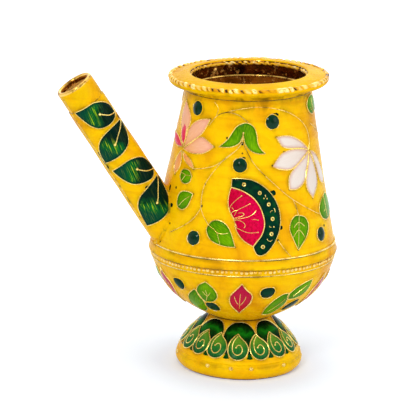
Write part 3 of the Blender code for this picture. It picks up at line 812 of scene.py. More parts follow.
# Waist: a ridge band of yellow enamel covers the seam of the two halves, with a row of small beads
# under its ledge and a thin gilt wire along each edge, all soldered on.
band_outline = (
    bend((46.2, 65.7), (46.9, 65.2), (46.9, 63.6), (47.4, 62.2), 10)
    + bend((47.55, 61.9), (47.75, 61.5), (47.5, 61.2), (47.0, 61.2), 5)
    + line((45.9, 61.2), (45.9, 65.7))
)
AWAY = Vector((-math.cos(math.radians(FRONT)), -math.sin(math.radians(FRONT)), 0))
WAIST_LEAN = Matrix.Rotation(math.radians(-1.2), 4, AWAY)
TO_WAIST = Matrix.Translation((0, 0, 62.0 * MM))
WAIST = POT @ TO_WAIST @ WAIST_LEAN @ Matrix.Translation(-TO_WAIST.translation)
band = turned(band_outline)
waver(band)
band_piece = add_piece("waist_ridge", band, [YELLOW], ["waist_band"], place=WAIST)
# Painted shade: a dark ring under the waist band's ledge.
solder_and_shade_line("waist_ledge_shadow", 46.9, 61.15, 0.18, 0.7, WAIST)
solder_and_shade_line("waist_low_line", 46.32, 57.75, 0.14, 0.5, WAIST)
solder_and_shade_line("waist_top_line", 46.4, 65.65, 0.16, 0.6, WAIST)


def wire_ring(ring, height, thick, sides, steps):
    """A round wire bent to a ring about the axis, in millimetres."""
    bm = bmesh.new()
    seat = Matrix.Translation((ring * MM, 0, height * MM))
    upright = Matrix.Rotation(math.pi / 2, 4, "X")
    bmesh.ops.create_circle(bm, segments=sides, radius=thick * MM, matrix=seat @ upright)
    return spun(bm, steps)


WAIST_WIRE_RING = 46.4
WAIST_WIRE_SIDES = 8
WAIST_WIRES = (
    ("waist_wire_top", 66.1, 0.38, "waist_upper_wire"),
    ("waist_wire_low", 58.05, 0.24, "waist_lower_wire"),
)
for name, height, thick, old in WAIST_WIRES:
    wire = wire_ring(WAIST_WIRE_RING, height, thick, WAIST_WIRE_SIDES, TURN_STEPS)
    waver(wire)
    add_piece(name, wire, [GILT], [old], place=WAIST)

BEAD_GILT = gilt_brass("bead_gilt", YOLK, (0.94, 0.66, 0.17), 0.3)
WAIST_BEADS = 124
BEAD_RADIUS = 0.9 * MM
BEAD_RING, BEAD_HEIGHT = 46.75, 59.9
BEAD_SUNK = (0.05, 0.2, 0.35, 0.5, 0.65)
chance = random.Random(7)
beads = bmesh.new()
for k in range(WAIST_BEADS):
    reach = BEAD_RING - chance.choice(BEAD_SUNK)
    turn = Matrix.Rotation(math.tau * (k + chance.uniform(-0.12, 0.12)) / WAIST_BEADS, 4, "Z")
    height = BEAD_HEIGHT + chance.uniform(-0.15, 0.15)
    seat = turn @ Matrix.Translation((reach * MM, 0, height * MM))
    shape = Matrix.Diagonal((0.7, chance.uniform(0.85, 1.15), 0.9, 1.0))
    bmesh.ops.create_icosphere(beads, subdivisions=2, radius=BEAD_RADIUS, matrix=seat @ shape)
waver(beads)
add_piece("waist_beads", beads, [BEAD_GILT], ["waist_bead_wire"], place=WAIST)

# Upper body: tapering wall of spun brass from the seam to the neck, enamelled yellow outside and
# bare inside. The spout's bore goes through it on one side.
WALL_LOW, WALL_HIGH = 65.6, 141.4
WALL_WIDE, WALL_NARROW = 46.2, 31.6
WALL_DRAWN_IN = 0.5
WALL_ROWS = 90


def wall_radius(height):
    """Outer radius of the wall at a height, in millimetres."""
    share = (height - WALL_LOW) / (WALL_HIGH - WALL_LOW)
    return WALL_WIDE + (WALL_NARROW - WALL_WIDE) * share - 4 * WALL_DRAWN_IN * share * (1 - share)


WALL_TUCK = 2.2
wall_rise = WALL_HIGH + WALL_TUCK - WALL_LOW
wall_heights = [WALL_LOW + wall_rise * k / WALL_ROWS for k in range(WALL_ROWS + 1)]
WALL_SKIN = line(*[(wall_radius(z), z) for z in wall_heights])
WALL = 1.5
WALL_STEPS = 264
wall_inside = line(*[(wall_radius(z) - WALL, z) for z in wall_heights[::6]])
wall = turned(WALL_SKIN[::-1] + line((46.2, 62.8), (44.7, 62.8)) + wall_inside, steps=WALL_STEPS)
bare_inside(wall, lambda z: (wall_radius(max(z / MM, WALL_LOW)) - WALL / 2) * MM)
waver(wall)
body_piece = add_piece("body_wall", wall, [YELLOW, BRASS], ["upper_body"])

# Spout: a straight tube of sheet brass, mitred to the wall and soldered, with a step near its mouth
# and a rolled gilt lip. It is enamelled outside and bare in the bore, whose brass is painted dark as shade
# just under the lip and bright deeper in, as the light reflected inside it.
lip_low, lip_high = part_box("spout_lip")
SPOUT_TILT = math.radians(34.1)
LIP_THICK = 1.05
spout_axis = Vector((-math.sin(SPOUT_TILT), 0, math.cos(SPOUT_TILT)))
mouth = (lip_low + lip_high) / 2 + spout_axis * LIP_THICK * MM
SPOUT = Matrix.Translation(mouth) @ Matrix.Rotation(-SPOUT_TILT, 4, "Y")
TUBE_END, TUBE_ROOT = -0.5, -112.0
SPOUT_SKIN = line(
    (10.55, TUBE_ROOT), (10.3, -80.1), (9.85, -11.6), (9.78, -10.9), (9.35, -10.4), (9.3, -9.8),
    (9.42, -8.6), (9.4, TUBE_END),
)
BORE = 7.9
BORE_SHADE_DEPTH = 2.0
BORE_SKIN = 0.3
TUBE_ROW = 1.6 * MM
TUBE_STEPS = 96
tube_side = []
for low, high in zip(SPOUT_SKIN, SPOUT_SKIN[1:]):
    rows = max(int((high - low).length / TUBE_ROW), 1)
    tube_side += [low.lerp(high, k / rows) for k in range(rows)]
tube_side += SPOUT_SKIN[-1:] + line((BORE, TUBE_END), (BORE, -BORE_SHADE_DEPTH), (BORE, TUBE_ROOT))
tube = turned(tube_side, steps=TUBE_STEPS)
bare_inside(tube, lambda z: (BORE + BORE_SKIN) * MM)
# Painted shade: the bore's first millimetres below the mouth take the dark brass.
for face in tube.faces:
    if face.material_index == 1 and face.calc_center_median().z > -BORE_SHADE_DEPTH * MM:
        face.material_index = 2
waver(tube)
# Painted light: the deeper bore's brass is bright, standing in for light reflected inside it.
BORE_LIT_BRASS = old_brass("bore_lit_brass", (0.62, 0.26, 0.02), (1.0, 0.66, 0.18), 0.45)
tube_piece = add_piece(
    "spout_barrel", tube, [YELLOW, BORE_LIT_BRASS, DARK_BRASS], ["spout_tube"], place=SPOUT
)
# Painted shade: a dark ring in the crease of the spout's step.
solder_and_shade_line("spout_step_shadow", 9.34, -10.35, 0.13, 0.30, SPOUT)


def cut_by(piece, cutter_bm, place):
    """Cuts a piece by a solid, once and for all."""
    mesh = bpy.data.meshes.new("cutter")
    cutter_bm.transform(place)
    cutter_bm.to_mesh(mesh)
    cutter_bm.free()
    cutter = bpy.data.objects.new("cutter", mesh)
    bpy.context.scene.collection.objects.link(cutter)
    step = piece.modifiers.new("Cut", "BOOLEAN")
    step.operation = "DIFFERENCE"
    step.solver = "EXACT"
    step.object = cutter
    bpy.context.view_layer.update()
    graph = bpy.context.evaluated_depsgraph_get()
    done = bpy.data.meshes.new_from_object(piece.evaluated_get(graph), depsgraph=graph)
    piece.modifiers.clear()
    piece.data = done
    bpy.data.objects.remove(cutter)


MITRE_SINK = 0.7
mitre_side = line(*[(wall_radius(z) - MITRE_SINK, z) for z in range(66, 142, 5)])
mitre_outline = line((0, 30), (47.0 - MITRE_SINK, 30)) + mitre_side + line((0, 141))
cut_by(tube_piece, turned(mitre_outline, closed=False, steps=160), POT)
drill_outline = line((0, TUBE_ROOT), (BORE, TUBE_ROOT), (BORE, -40), (0, -40))
cut_by(body_piece, turned(drill_outline, closed=False, steps=48), SPOUT)

LIP_GILT = gilt_brass("lip_gilt", (0.26, 0.09, 0.005), (0.88, 0.53, 0.11), 1.0)
LIP_REACH = 0.9
LIP_RADIUS = 9.45
ROUND_SIDES = 14
lip = wire_ring(LIP_RADIUS - LIP_THICK, LIP_REACH - LIP_THICK, LIP_THICK, ROUND_SIDES, TUBE_STEPS)
waver(lip)
add_piece("spout_rolled_lip", lip, [LIP_GILT], ["spout_lip"], place=SPOUT)

# Spout seam: fillet of solder round the spout's root, run over with the same yellow enamel, which
# has burnt brown and green here and there along it.
SEAM_THICK = 1.15
SEAM_POINTS = 72
SEAM_LUMP, SEAM_LUMP_PITCH = 0.3 * MM, 2.5 * MM
ROOT_RADIUS = 10.4
ROOT_NEAR, ROOT_FAR = -45.0, -105.0
HALVINGS = 40
to_pot = POT.inverted() @ SPOUT


def root_point(angle):
    """Where a line along the tube's side meets the wall."""
    near, far = ROOT_NEAR, ROOT_FAR
    for _ in range(HALVINGS):
        middle = (near + far) / 2
        side = Vector((ROOT_RADIUS * math.cos(angle), ROOT_RADIUS * math.sin(angle), middle))
        spot = to_pot @ (side * MM)
        gap = math.hypot(spot.x, spot.y) / MM - wall_radius(spot.z / MM)
        near, far = (middle, far) if gap > 0 else (near, middle)
    return spot


seam_points = [root_point(math.tau * k / SEAM_POINTS) for k in range(SEAM_POINTS)]
seam = wire_mesh([(seam_points, True, SEAM_THICK)])
bmesh.ops.subdivide_edges(seam, edges=seam.edges, cuts=1, use_grid_fill=True)
for vert in seam.verts:
    vert.co += vert.normal * SEAM_LUMP * noise.noise(vert.co / SEAM_LUMP_PITCH)
seam_piece = add_piece("spout_fillet", seam, [YELLOW], ["spout_seam"])

# Spout leaves: two pairs down each side of the tube, deep green translucent enamel over metal that
# was scratched lengthways, each with a gilt midrib that ends in a ball. The glitter is painted: bright
# green streaks in a band across each leaf, with yellow glints on the strongest.
# Painted highlight: the zone keeps the bright green streaks to the middle of each leaf, where light would
# catch the metal, and the glint colour paints yellow glints on them.
SPOUT_GREEN = cell_enamel(
    "spout_green",
    ((0.0, (0.001, 0.012, 0.008)), (0.42, (0.001, 0.014, 0.008)), (0.58, (0.002, 0.085, 0.020)),
     (0.75, (0.001, 0.055, 0.026)), (1.0, (0.001, 0.040, 0.030))),
    (0.001, 0.024, 0.020), 0.6, (0.012, 0.24, 0.006), 0.95, streaks=(560.0, 24.0), hairs=(0.455, 0.60),
    lean=math.radians(24), painted_glint=(0.46, 0.62, 0.005), gloss=0.03,
    highlight_zone=((0.40, 0.03), (0.50, 0.4), (0.58, 1.0), (0.70, 0.10)),
)
SPOUT_LEAVES = (
    (
        [(142, 10.2), (110, 10.2), (82, 10.3), (61, 11.7), (41, 14.6), (28, 18.4), (30, 21.6)],
        [(30, 21.6), (44, 23.0), (61, 23.8), (81, 23.8), (102, 22.6), (118, 19.7), (130, 15.4),
         (142, 10.2)],
        [(30, 21.3), (57, 20.2), (72, 18.1), (81, 16.6)],
    ),
    (
        [(150, 40.1), (106, 39.9), (81, 39.2), (58, 37.5), (43, 34.9), (30, 31.3), (22, 27.2), (36, 25.6)],
        [(36, 25.6), (67, 25.5), (96, 26.2), (119, 27.9), (138, 31.4), (149, 35.9), (150, 40.1)],
        [(32, 26.4), (68, 30.3), (86, 32.9), (92, 33.5)],
    ),
    (
        [(143, 44.9), (111, 44.2), (84, 44.0), (59, 45.6), (36, 48.7), (22, 53.8), (26, 56.9)],
        [(26, 56.9), (42, 58.4), (56, 59.0), (77, 58.4), (100, 56.8), (117, 54.3), (132, 49.9),
         (143, 44.9)],
        [(26, 56.6), (55, 54.5), (70, 52.2), (79, 50.2)],
    ),
    (
        [(150, 78.9), (101, 78.9), (74, 77.8), (52, 75.6), (41, 72.1), (29, 67.2), (22, 62.0), (34, 59.8)],
        [(34, 59.8), (64, 60.4), (89, 61.3), (113, 62.9), (133, 66.4), (143, 70.4), (150, 78.9)],
        [(33, 60.4), (61, 65.2), (74, 68.4), (84, 70.2)],
    ),
)
SPOUT_MIDDLE = -45.0 * MM
SPOUT_FACE = 90.0
RIB, RIB_LIFT, RIB_BALL = 0.28, 0.6, 0.72
VINE_GILT = gilt_brass("vine_gilt", (0.12, 0.060, 0.006), (0.95, 0.68, 0.18), 0.5)
EDGE_WIRE, EDGE_LIFT = 0.19, 0.05
EDGE_DEGREES = [156 + 2 * math.sin(0.21 * k) for k in range(76)]
EDGE_TOP = -3.0
spout_wires = []
spout_balls = []
edge_wires = []
for side, way in (("front", -1), ("back", 1)):
    for number, (first, second, rib) in enumerate(SPOUT_LEAVES, start=1):
        sides = []
        for points in (first, second, rib):
            flat = [(degrees - SPOUT_FACE, -below) for degrees, below in points]
            flat = by_angle(SPOUT_SKIN, SPOUT_MIDDLE, flat)
            sides.append([(way * across, up) for across, up in flat])
        outline = closed(*sides[:2])
        seat = (SPOUT_SKIN, way * SPOUT_FACE, SPOUT_MIDDLE)
        leaf = laid([enamel_cell(outline, sides[1][0], sides[0][0], crown=0.4)], *seat)
        add_piece(
            f"spout_leaf_cell_{side}_{number}", leaf, [SPOUT_GREEN],
            [f"spout_leaf_{side}_{number}"], place=SPOUT,
        )
        spout_wires.append(wire_on(*seat, outline, True))
        spout_wires.append(wire_on(*seat, stroke(sides[2]), False, RIB, RIB_LIFT))
        spout_balls.append((spout_wires[-1][0][-1], RIB_BALL))
    edge = [
        lay((0, 0, EDGE_LIFT), SPOUT_SKIN, way * degrees, (EDGE_TOP - k) * MM)
        for k, degrees in enumerate(EDGE_DEGREES)
    ]
    edge_wires.append((edge, False, EDGE_WIRE))
add_piece("spout_wires", wire_mesh(spout_wires, spout_balls), [GILT], place=SPOUT)
add_piece("spout_edge_wires", wire_mesh(edge_wires), [VINE_GILT], place=SPOUT)

# Wall flowers and leaves: cells of coloured enamel, each inside its own gilt wire, drawn freehand on
# the front of the wall and again on its back.
PEACH = cell_enamel(
    "peach_petal", ((0.0, (0.84, 0.36, 0.12)), (0.35, (0.88, 0.45, 0.22)), (0.85, (0.86, 0.44, 0.30))),
    (0.66, 0.22, 0.11), 0.6, (0.92, 0.56, 0.36), 0.5,
)
DEEP_PINK = cell_enamel(
    "deep_pink_petal", ((0.0, (0.70, 0.03, 0.09)), (0.5, (0.72, 0.02, 0.08)), (1.0, (0.78, 0.12, 0.17))),
    (0.60, 0.02, 0.06), 0.4, (0.80, 0.14, 0.20), 0.4,
)
SEPAL = cell_enamel(
    "sepal_orange", ((0.0, (0.80, 0.26, 0.05)), (0.6, (0.90, 0.42, 0.12)), (1.0, (0.88, 0.40, 0.16))),
    (0.75, 0.24, 0.08), 0.4, (0.95, 0.55, 0.25), 0.4,
)
WHITE = cell_enamel(
    "white_petal", ((0.0, (0.71, 0.50, 0.40)), (0.25, (0.735, 0.63, 0.56)), (0.8, (0.755, 0.68, 0.62))),
    (0.56, 0.27, 0.17), 0.8, (0.77, 0.72, 0.68), 0.5,
)
HEART_PINK = cell_enamel(
    "heart_pink", ((0.0, (0.54, 0.001, 0.032)), (0.5, (0.65, 0.001, 0.052)), (1.0, (0.70, 0.001, 0.070))),
    (0.40, 0.001, 0.024), 0.4, (0.36, 0.001, 0.020), 0.85, streaks=(3.0, 3.0), gloss=0.03,
)
RIND_GREEN = cell_enamel(
    "rind_green",
    ((0.0, (0.001, 0.021, 0.012)), (0.5, (0.001, 0.029, 0.016)), (1.0, (0.001, 0.021, 0.012))),
    (0.0005, 0.006, 0.003), 0.7, (0.004, 0.11, 0.012), 0.35, streaks=(2.6, 2.6), gloss=0.02,
)
WALL_SIDES = (("front", FRONT), ("back", FRONT + 180))
wall_wires, wall_balls, wall_tips = ({"front": [], "back": []} for _ in range(3))


def on_wall(name, degrees, height, cells, finishes, wires=(), balls=(), frames=wall_wires):
    """Lays a motif on the front and the back. A cell is its outline, stalk, tip and finish number, and
    what else its shape needs; its frame is a wire too. A wire is a drawing and its radius."""
    plates = [enamel_cell(outline, stalk, tip, finish=finish, **shape)
              for outline, stalk, tip, finish, shape in cells]
    for side, middle in WALL_SIDES:
        angle = middle + degrees
        seat = (WALL_SKIN, angle, height * MM)
        add_piece(f"{name}_cell_{side}", laid(plates, *seat), finishes, [f"{name}_{side}"])
        for outline, _, tip, _, shape in cells:
            frames[side].append(wire_on(*seat, outline, True))
            if not shape:
                wall_tips[side].append((angle, height, tip))
        for drawing, thick in wires:
            wall_wires[side].append(wire_on(*seat, drawing, False, thick, VEIN_LIFT))
        for spot, radius in balls:
            wall_balls[side].append((lay((*spot, VEIN_LIFT), *seat), radius))


def petal(points, tip_number):
    """A petal drawn out along one side to its tip and back along the other."""
    return closed(points[:tip_number + 1], points[tip_number:] + points[:1]), points[0], points[tip_number]


white_petals = (
    [(0.0, 0.0), (-1.9, 1.9), (-6.1, 5.2), (-11.6, 7.8), (-16.7, 8.5), (-20.8, 8.0), (-19.2, 5.4),
     (-17.3, 3.2), (-13.2, 2.2), (-6.6, 1.7)],
    [(0.0, 0.0), (-6.0, 1.3), (-12.1, 1.7), (-17.6, 0.4), (-20.9, -2.6), (-23.2, -5.7), (-20.2, -7.1),
     (-14.9, -7.9), (-10.9, -6.7), (-5.5, -3.2)],
    [(0.1, -0.5), (-7.2, -4.4), (-11.6, -7.4), (-14.3, -10.3), (-15.2, -13.4), (-15.1, -17.2),
     (-11.6, -17.6), (-7.9, -16.1), (-5.2, -13.4), (-3.9, -9.8), (-1.5, -5.2)],
    [(0.4, -0.9), (-1.8, -6.7), (-3.9, -11.3), (-4.9, -15.2), (-4.2, -19.1), (-1.2, -23.3), (1.4, -20.5),
     (3.9, -17.2), (4.6, -12.9), (2.9, -5.9)],
    [(0.9, -0.5), (2.9, -4.2), (4.9, -8.8), (6.0, -13.1), (8.2, -17.2), (13.6, -18.8), (13.6, -14.7),
     (11.8, -10.1), (8.4, -4.8), (4.8, -1.7)],
)
WHITE_TIP = 5
white_cells = [(*petal(points, WHITE_TIP), 0, {}) for points in white_petals]
on_wall("lotus_white", 56.2, 116.2, white_cells, [WHITE])

pink_petals = (
    ([(0.9, -0.2), (5.4, 2.7), (9.5, 6.1), (13.2, 7.3), (17.1, 5.8), (20.6, 3.7), (17.8, 1.4), (14.2, -0.4),
      (8.8, -1.2), (4.4, -0.9)], 5, 0),
    ([(1.0, 0.4), (1.5, 4.9), (2.6, 9.3), (5.8, 13.1), (10.9, 15.6), (16.6, 16.5), (14.9, 12.7),
      (12.4, 8.8), (8.5, 5.6), (4.7, 2.8)], 5, 0),
    ([(0.2, 1.0), (-5.2, 7.6), (-8.2, 12.4), (-8.8, 16.6), (-6.5, 22.5), (-1.0, 19.0), (2.7, 14.6),
      (1.9, 9.0)], 4, 0),
    ([(-0.5, 0.6), (-4.6, 3.2), (-9.6, 5.0), (-16.6, 5.6), (-12.6, 1.2), (-6.4, -0.2)], 3, 1),
    ([(-0.2, 1.2), (-3.9, 4.4), (-4.9, 8.6), (-1.6, 13.0), (0.9, 9.4), (1.0, 4.9)], 3, 1),
    ([(-0.8, -1.5), (-3.9, -5.0), (-5.1, -9.5), (-2.7, -13.6), (0.1, -10.0), (0.7, -6.1)], 3, 2),
    ([(0.7, -1.7), (2.7, -4.7), (6.0, -6.9), (10.7, -8.5), (9.4, -6.1), (6.9, -4.0)], 3, 2),
)
pink_cells = []
for points, tip_number, finish in pink_petals:
    raised = {"crown": 0.55} if finish == 1 else {}
    pink_cells.append((*petal(points, tip_number), finish, raised))
on_wall("lotus_pink", -59.6, 114.8, pink_cells, [PEACH, DEEP_PINK, SEPAL])

twin_outline = closed(
    [(-11.4, -6.6), (-9.4, -4.8), (-7.1, -2.2), (-5.3, 0.9), (-3.2, 3.9), (0.2, 5.6), (3.2, 5.2),
     (5.4, 3.3), (6.5, 0.2), (7.1, -3.8), (8.5, -6.6), (10.8, -8.8)],
    [(10.6, -8.8), (7.3, -8.8), (4.2, -7.7), (1.9, -5.5), (0.7, -3.2), (0.0, 0.0)],
    [(0.0, 0.0), (-0.7, -2.0), (-1.6, -3.9), (-3.8, -5.5), (-6.8, -6.4), (-11.4, -6.6)],
)
on_wall(
    "twin_leaf", -3.9, 125.4, [(twin_outline, (0, 5.5), (0, -8.8), 0, {})], [LEAF_GREEN],
    [(stroke([(-0.4, -3.4), (-0.1, -1.2), (0.0, 0.6)]), RIB)], [((0.0, 0.9), 0.5)],
)

RIND_OUTER = [(-2.9, 19.7), (3.1, 20.0), (8.6, 19.2), (14.2, 16.3), (18.6, 12.1), (21.4, 7.0), (22.4, 1.1),
              (21.6, -4.5), (19.1, -10.0), (16.0, -14.2), (13.8, -15.9), (11.7, -16.3), (10.3, -15.5)]
RIND_INNER = [(8.9, -12.1), (10.6, -9.7), (12.9, -6.5), (14.3, -1.7), (13.6, 2.9), (11.6, 7.5), (8.3, 11.3),
              (2.9, 14.3), (-3.0, 15.7)]
rind_outline = closed(
    RIND_OUTER, [RIND_OUTER[-1], (9.5, -13.9), RIND_INNER[0]], RIND_INNER, [RIND_INNER[-1], RIND_OUTER[0]]
)


def ring_points(radius, sides, middle=(0, 0)):
    """Corners round a flat ring."""
    turns = [math.tau * k / sides for k in range(sides)]
    return [Vector((middle[0] + radius * math.cos(a), middle[1] + radius * math.sin(a))) for a in turns]


RIND_RING, RIND_RING_WIRE = 0.68, 0.34
RIND_RINGS = ((3.6, 17.3), (11.8, 13.4), (16.4, 7.9), (18.2, 1.0), (17.4, -6.1), (13.3, -12.1))
rind_wires = []
for middle in RIND_RINGS:
    ring = ring_points(RIND_RING, ROUND_SIDES, middle)
    rind_wires.append((ring + ring[:1], RIND_RING_WIRE))
CURL_WIRE, CURL_STEPS = 0.16, 3
RIND_CURLS = (
    [(14.4, 12.5), (14.8, 12.0), (14.7, 11.4)], [(17.1, 4.1), (17.6, 4.8), (18.4, 4.9)],
    [(19.0, 6.1), (19.5, 5.3), (19.6, 4.1)], [(16.4, -2.2), (16.8, -2.8), (17.4, -2.9)],
    [(15.2, -8.3), (15.9, -9.3), (17.0, -9.5), (17.7, -8.9)],
)
rind_wires += [(stroke(points, CURL_STEPS), CURL_WIRE) for points in RIND_CURLS]
RIND_GRAINS = [((13.9, 10.8), 0.36), ((15.5, 10.7), 0.36), ((18.7, -2.8), 0.4)]
on_wall(
    "fan_rind", -6.6, 84.7, [(rind_outline, (0, -16), (0, 20), 0, {"shoulder": 1.4})], [RIND_GREEN],
    rind_wires, RIND_GRAINS,
)

heart_outline = closed(
    [(-3.0, 15.55), (2.85, 14.15), (8.2, 11.2), (11.5, 7.4), (13.45, 2.85), (14.15, -1.7), (12.75, -6.45),
     (10.45, -9.6), (8.8, -11.9)],
    [(8.8, -11.9), (5.6, -10.2), (3.0, -7.9), (0.8, -4.6), (0.0, -1.2), (-1.2, 1.7), (-3.3, 4.8),
     (-4.1, 8.9), (-3.8, 12.6), (-3.0, 15.55)],
)
heart_veins = (
    [(-3.1, 5.5), (-2.4, 7.2), (-0.2, 9.6), (2.6, 11.9)], [(-0.5, 2.4), (0.9, 5.0), (4.2, 6.8), (6.8, 8.2)],
    [(8.4, 0.8), (9.6, 0.9), (11.0, 0.6)],
    [(-0.2, -2.6), (1.5, -3.6), (5.4, -5.2), (7.7, -5.5), (11.0, -5.2)],
    [(-0.5, 0.6), (3.0, 1.2), (6.0, 2.0), (8.6, 3.4), (10.1, 5.1)],
    [(-0.8, 0.9), (0.9, 1.5), (3.0, 2.2), (4.2, 3.3), (3.0, 3.9), (1.4, 3.6)],
    [(-0.5, 0.2), (2.3, 0.1), (4.2, -0.9), (4.9, -2.2), (4.4, -3.3)],
    [(-0.4, -0.2), (0.2, -1.3), (1.0, -2.9)], [(-3.1, 5.4), (-2.4, 3.2), (-1.0, 0.9)],
    [(-2.3, 3.1), (-1.0, 4.4), (0.8, 4.9)], [(-1.9, 6.2), (-1.1, 5.2)],
)
HEART_VEIN, HEART_BALL, BALLED_VEINS = 0.13, 0.32, 4
heart_wires = [(stroke(points), HEART_VEIN) for points in heart_veins]
heart_balls = [(points[-1], HEART_BALL) for points in heart_veins[:BALLED_VEINS]]
on_wall(
    "fan_heart", -6.6, 84.7, [(heart_outline, (0, 0), (14, 4), 0, {"shoulder": 2.2})], [HEART_PINK],
    heart_wires, heart_balls,
)

LEAVES = (
    ("leaf_low_left", -16.4, 77.3,
     [(-6.0, 4.1), (-4.3, 6.1), (-1.7, 6.9), (1.6, 6.2), (4.3, 4.0), (6.2, 0.5), (8.2, -5.2), (4.2, -5.2),
      (0.5, -4.6), (-3.4, -3.2), (-5.8, -0.7), (-6.8, 2.0)], 6,
     ([(-6.4, 4.6), (-4.4, 3.2), (-1.3, 1.1), (0.9, -4.3)], [(4.6, 1.4), (1.6, 0.6), (-1.3, 1.1)])),
    ("leaf_low_right", 37.0, 78.3,
     [(0.8, 8.0), (5.2, 6.4), (7.0, 2.5), (5.1, -2.2), (1.8, -5.8), (-1.0, -8.5), (-3.3, -3.5), (-5.1, 1.5),
      (-4.1, 5.5), (-1.6, 7.8)], 5,
     ([(0.9, 7.6), (0.4, 4.0), (0.0, 1.0), (-1.0, -7.4)], [(-3.7, -2.4), (0.0, 1.0), (3.4, -2.9)],
      [(-3.0, 2.4), (0.4, 4.6), (3.8, 2.4)])),
    ("leaf_side", -45.0, 91.0,
     [(-4.6, -4.4), (-6.0, -2.4), (-6.0, 1.3), (-3.6, 3.6), (1.0, 4.2), (3.9, 3.6), (3.1, 0.6), (1.5, -3.0),
      (-1.4, -5.0)], 5, ([(-4.0, -3.6), (-1.4, -0.6), (2.2, 2.2)],)),
    ("leaf_round", -49.3, 101.9,
     [(-4.6, -0.8), (-4.0, 2.1), (-1.3, 3.4), (2.0, 3.0), (4.0, 0.9), (3.4, -1.9), (0.6, -3.4),
      (-2.5, -3.0)], 4,
     ([(-3.6, 1.2), (-0.3, 0.7), (-2.1, -2.2)], [(-0.3, 0.7), (3.3, 1.0)])),
    ("leaf_neck", 71.2, 136.9,
     [(-1.0, -4.4), (-3.8, -3.2), (-5.6, -0.6), (-5.3, 2.0), (-2.8, 4.1), (1.4, 4.9), (4.6, 3.6),
      (7.4, 1.0), (7.8, -1.6), (4.2, -3.8)], 5,
     ([(-1.6, -2.6), (-2.6, -1.2), (-3.4, -1.2)], [(0.4, -4.0), (0.2, 0.0), (-0.4, 3.2)])),
    ("leaf_edge", 70.4, 87.1,
     [(-0.9, -6.8), (-5.0, -5.2), (-7.0, -1.4), (-5.6, 1.8), (-1.6, 4.4), (4.0, 6.0), (8.4, 3.2),
      (11.0, -0.6), (10.4, -4.2), (5.2, -6.6)], 5,
     ([(-2.6, -2.6), (-1.2, -1.8)], [(0.6, -5.6), (0.4, 0.0), (-0.4, 5.0)])),
)
for name, degrees, height, points, tip_number, veins in LEAVES:
    on_wall(
        name, degrees, height, [(*petal(points, tip_number), 0, {})], [LEAF_GREEN],
        [(stroke(vein), VEIN) for vein in veins],
    )

# Stones: round cabochons of dark green glass, five on the front and five on the back. Each is held on
# the wall by a ring of gilt wire, which the yellow enamel half covers.
# Painted sheen: the stones are tinted a lighter teal towards their edge, as glass catches light at its rim.
STONE_GREEN = cell_enamel(
    "stone_green",
    ((0.0, (0.001, 0.030, 0.011)), (0.5, (0.001, 0.016, 0.005)), (1.0, (0.002, 0.034, 0.014))),
    (0.002, 0.040, 0.020), 0.6, (0.003, 0.065, 0.022), 0.35, streaks=(1.5, 1.5), gloss=0.13,
    rough=(0.05, 0.1),
)
STONE_RADIUS, STONE_SIDES = 3.65, 36
STONE_DOME = {"crown": 1.25, "shoulder": STONE_RADIUS, "grid": 0.5}
STONES = ((-48.9, 135.3), (20.2, 131.6), (-5.3, 110.9), (-33.7, 74.1), (58.7, 74.7))
stone_cells = [(ring_points(STONE_RADIUS, STONE_SIDES), (0, -3), (0, 3), 0, STONE_DOME)]
bezel_wires = {"front": [], "back": []}
for number, (degrees, height) in enumerate(STONES, start=1):
    on_wall(
        f"stone_{number}", degrees, height, stone_cells, [STONE_GREEN],
        frames=bezel_wires,
    )
for side, _ in WALL_SIDES:
    add_piece(f"stone_bezels_{side}", wire_mesh(bezel_wires[side]), [COVERED_GILT])

# Drops: specks of dark green enamel that ran over the wires in the kiln, with a few along the spout and
# round its root, and small burnt specks where the frames of petals and leaves come to a point.
DROPS = (
    (23.4, 135.1, 1.5, 0.8), (-16.9, 123.4, 0.5, 0.5), (-4.5, 121.3, 0.8, 0.9), (-2.8, 114.4, 0.9, 0.6),
    (19.1, 98.0, 1.5, 1.3), (24.0, 81.3, 0.9, 1.0), (21.6, 75.4, 0.5, 0.5), (19.2, 110.9, 0.45, 0.45),
    (29.3, 117.1, 0.4, 0.4), (64.6, 78.0, 0.6, 0.6), (-30.9, 89.8, 0.4, 0.6), (-30.6, 100.4, 0.4, 0.6),
)
ROOT_DROPS = (
    (-59.6, 86.4, 1.2, 1.0), (-67.2, 94.0, 0.8, 1.4), (-58.5, 95.2, 0.6, 0.6), (-62.2, 82.8, 1.1, 0.7),
    (-61.4, 74.9, 0.8, 1.5), (-64.3, 67.9, 0.7, 1.1), (-57.0, 77.7, 0.5, 0.5),
)
BURNT = cell_enamel(
    "burnt_enamel", ((0.0, (0.10, 0.05, 0.004)), (0.5, (0.06, 0.03, 0.004)), (1.0, (0.12, 0.06, 0.005))),
    (0.20, 0.11, 0.003), 0.5, (0.04, 0.06, 0.006), 0.5, streaks=(2.0, 2.0),
)
TIP_SPECK = 0.42
SPECK_CORNERS = 10
SPECK_UNEVEN = 0.4
SPECK_SPREAD = 3


def speck_cell(centre, wide, tall, finish):
    """A small blob of enamel of no regular shape."""
    x, y = centre
    blob = []
    for k in range(SPECK_CORNERS):
        turn = math.tau * k / SPECK_CORNERS
        across, up = math.cos(turn), math.sin(turn)
        uneven = noise.noise((x + SPECK_SPREAD * across, y + SPECK_SPREAD * up, wide))
        swell = 1 + SPECK_UNEVEN * uneven
        blob.append(Vector((x + wide * swell * across, y + tall * swell * up)))
    return enamel_cell(blob, (x, y - tall), (x, y + tall), crown=0.15, shoulder=0.5, finish=finish)


